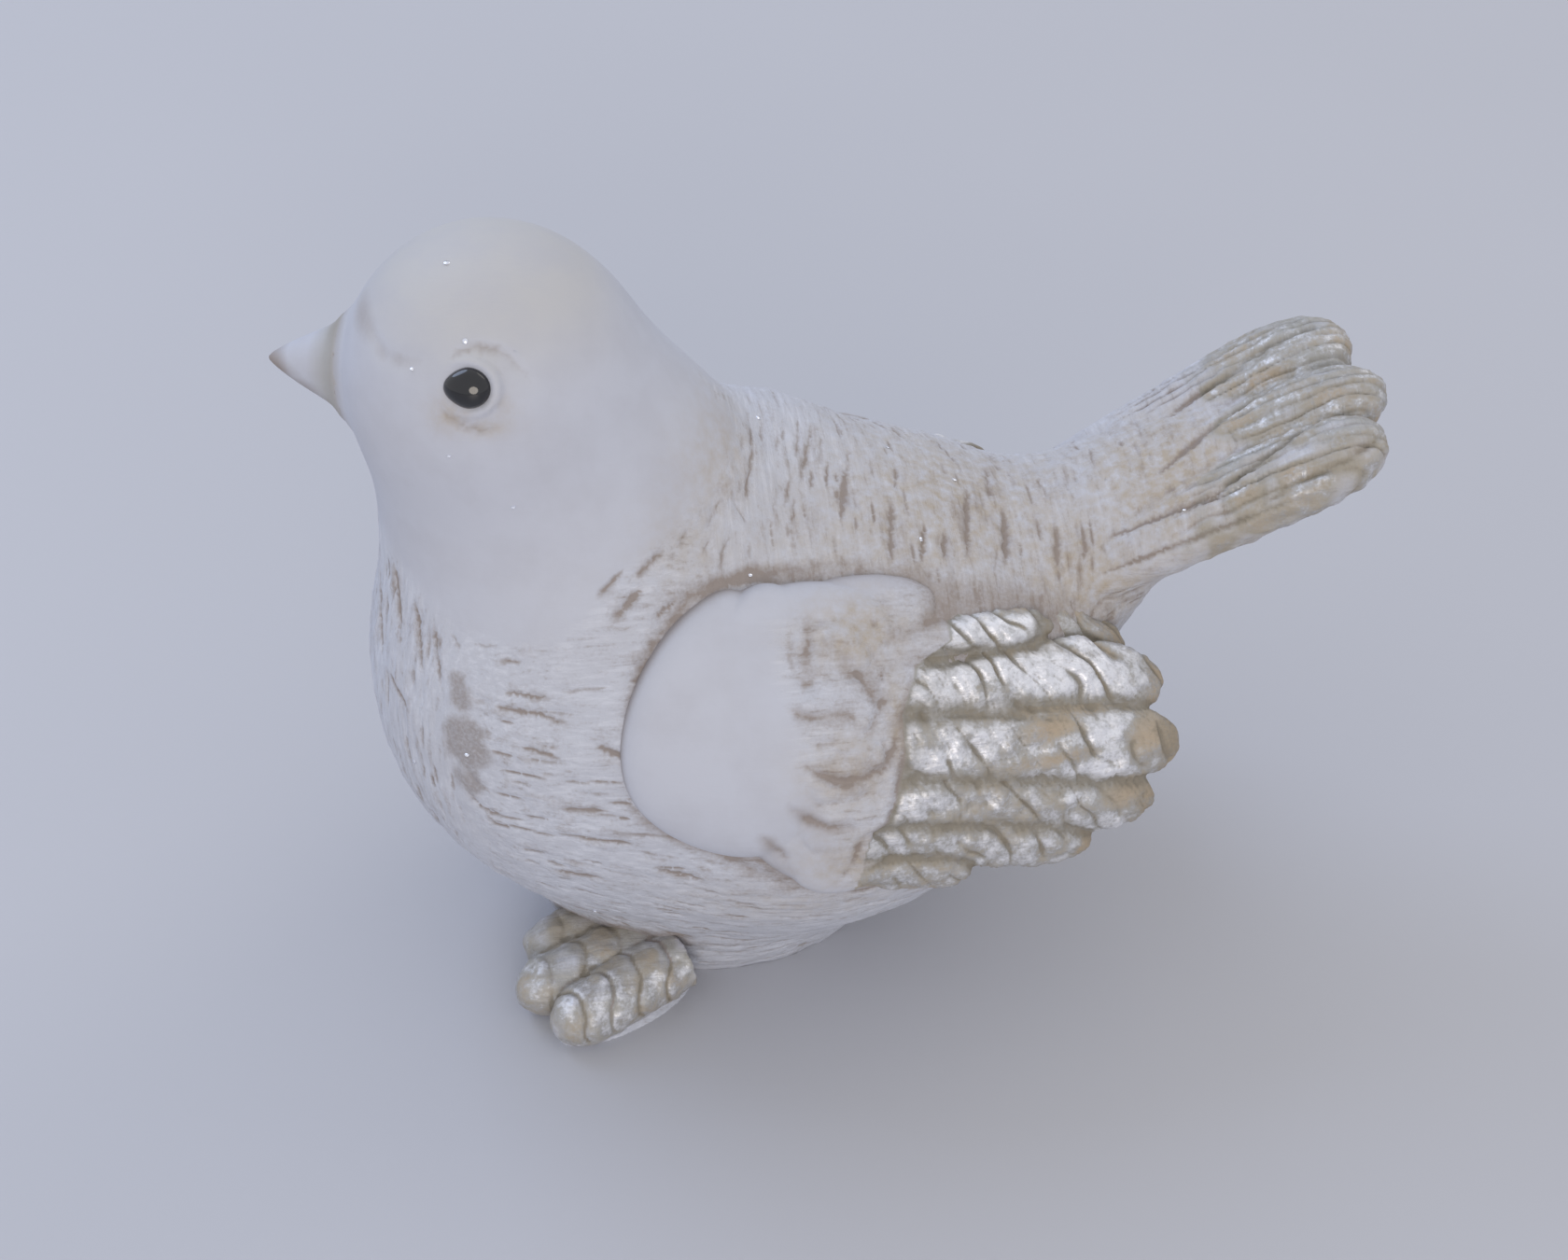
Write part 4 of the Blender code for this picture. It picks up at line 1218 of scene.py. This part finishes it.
# Glitter flakes: thin metal-coated film, a cold white glint in the paint.
def glitterFoil():
    material, add, fill = newMaterial("glitter_foil")
    place = add("TexCoord", {}, "Object")
    speck = add("TexNoise", {"Vector": place, "Scale": 400.0, "Detail": 1.0})
    tone = add("Mix", {0: speck, 6: fromHex("#e9eeff"), 7: fromHex("#ffffff")}, 2, data_type="RGBA")
    fill({"Base Color": tone, "Metallic": 1.0, "Roughness": 0.22})
    return material


# Pale painted table top, only a stage: matte, with a faint cloudiness.
def paleTable():
    material, add, fill = newMaterial("pale_table")
    place = add("TexCoord", {}, "Object")
    cloud = add("TexNoise", {"Vector": place, "Scale": 6.0, "Detail": 2.0})
    tone = add("Mix", {0: cloud, 6: fromHex("#b9bac0"), 7: fromHex("#bfc0c6")}, 2, data_type="RGBA")
    fill({"Base Color": tone, "Roughness": 0.5})
    return material


resin, enamel, foil = whitewashedResin(), glossEnamel(), glitterFoil()
for piece in (cast, wingLeft, wingRight, footLeft, footRight, eyeLeft, eyeRight, flakes):
    material = {eyeLeft: enamel, eyeRight: enamel, flakes: foil}.get(piece, resin)
    piece.data.materials.clear()
    piece.data.materials.append(material)
    piece.data.transform(Matrix.Translation(Vector(toRow) * mm))
    makeActive(piece)
    bpy.ops.object.shade_smooth()
    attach(piece, "root")
    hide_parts("bird")
print("pieces painted")


# stage, light and camera

stage = {
    "floor": 4.0,           # metres across
    "sky": "#e6e8ee", "skyStrength": 0.86,
    "aim": (0.0, 0.0, 0.04),
    # place, size in metres, watts, colour
    "lamps": (
        ((-0.6, 0.7, 0.9), 0.9, 4.8, "#c8dbff"),
        ((0.7, 0.4, 0.8), 0.7, 1.1, "#fff6ec"),
        ((-0.1, -1.1, 0.35), 0.6, 3.6, "#fff4e8"),
    ),
}
clearSelection()
bpy.ops.mesh.primitive_plane_add(size=stage["floor"], location=(0, 0, 0))
floor = bpy.context.object
floor.name = "floor"
floor.data.materials.append(paleTable())

world = bpy.data.worlds.new("room")
bpy.context.scene.world = world
world.use_nodes = True
sky = world.node_tree.nodes.get("Background") or world.node_tree.nodes.new("ShaderNodeBackground")
sky.inputs["Color"].default_value = fromHex(stage["sky"])
sky.inputs["Strength"].default_value = stage["skyStrength"]
for i, (at, size, power, tone) in enumerate(stage["lamps"]):
    lamp = bpy.data.lights.new(f"softbox{i}", "AREA")
    lamp.shape = "DISK"
    lamp.size = size
    lamp.energy = power
    lamp.color = fromHex(tone)[:3]
    holder = bpy.data.objects.new(f"softbox{i}", lamp)
    holder.location = at
    holder.rotation_euler = (Vector(stage["aim"]) - Vector(at)).to_track_quat("-Z", "Y").to_euler()
    bpy.context.scene.collection.objects.link(holder)

view = {
    "azimuth": -8.0, "elevation": 38.0, "lens": 60.0, "sensor": 36.0,
    "distance": 0.308, "target": (-0.007, 0.0, 0.038),
}
a, e = math.radians(view["azimuth"]), math.radians(view["elevation"])
back = Vector((math.sin(a) * math.cos(e), -math.cos(a) * math.cos(e), math.sin(e)))
camera = bpy.data.objects.new("camera", bpy.data.cameras.new("camera"))
camera.data.lens = view["lens"]
camera.data.sensor_width = view["sensor"]
camera.data.clip_start = 0.01
camera.location = Vector(view["target"]) + back * view["distance"]
camera.rotation_euler = back.to_track_quat("Z", "Y").to_euler()
bpy.context.scene.collection.objects.link(camera)
bpy.context.scene.camera = camera
bpy.context.scene.view_settings.view_transform = "Standard"
print("stage set")
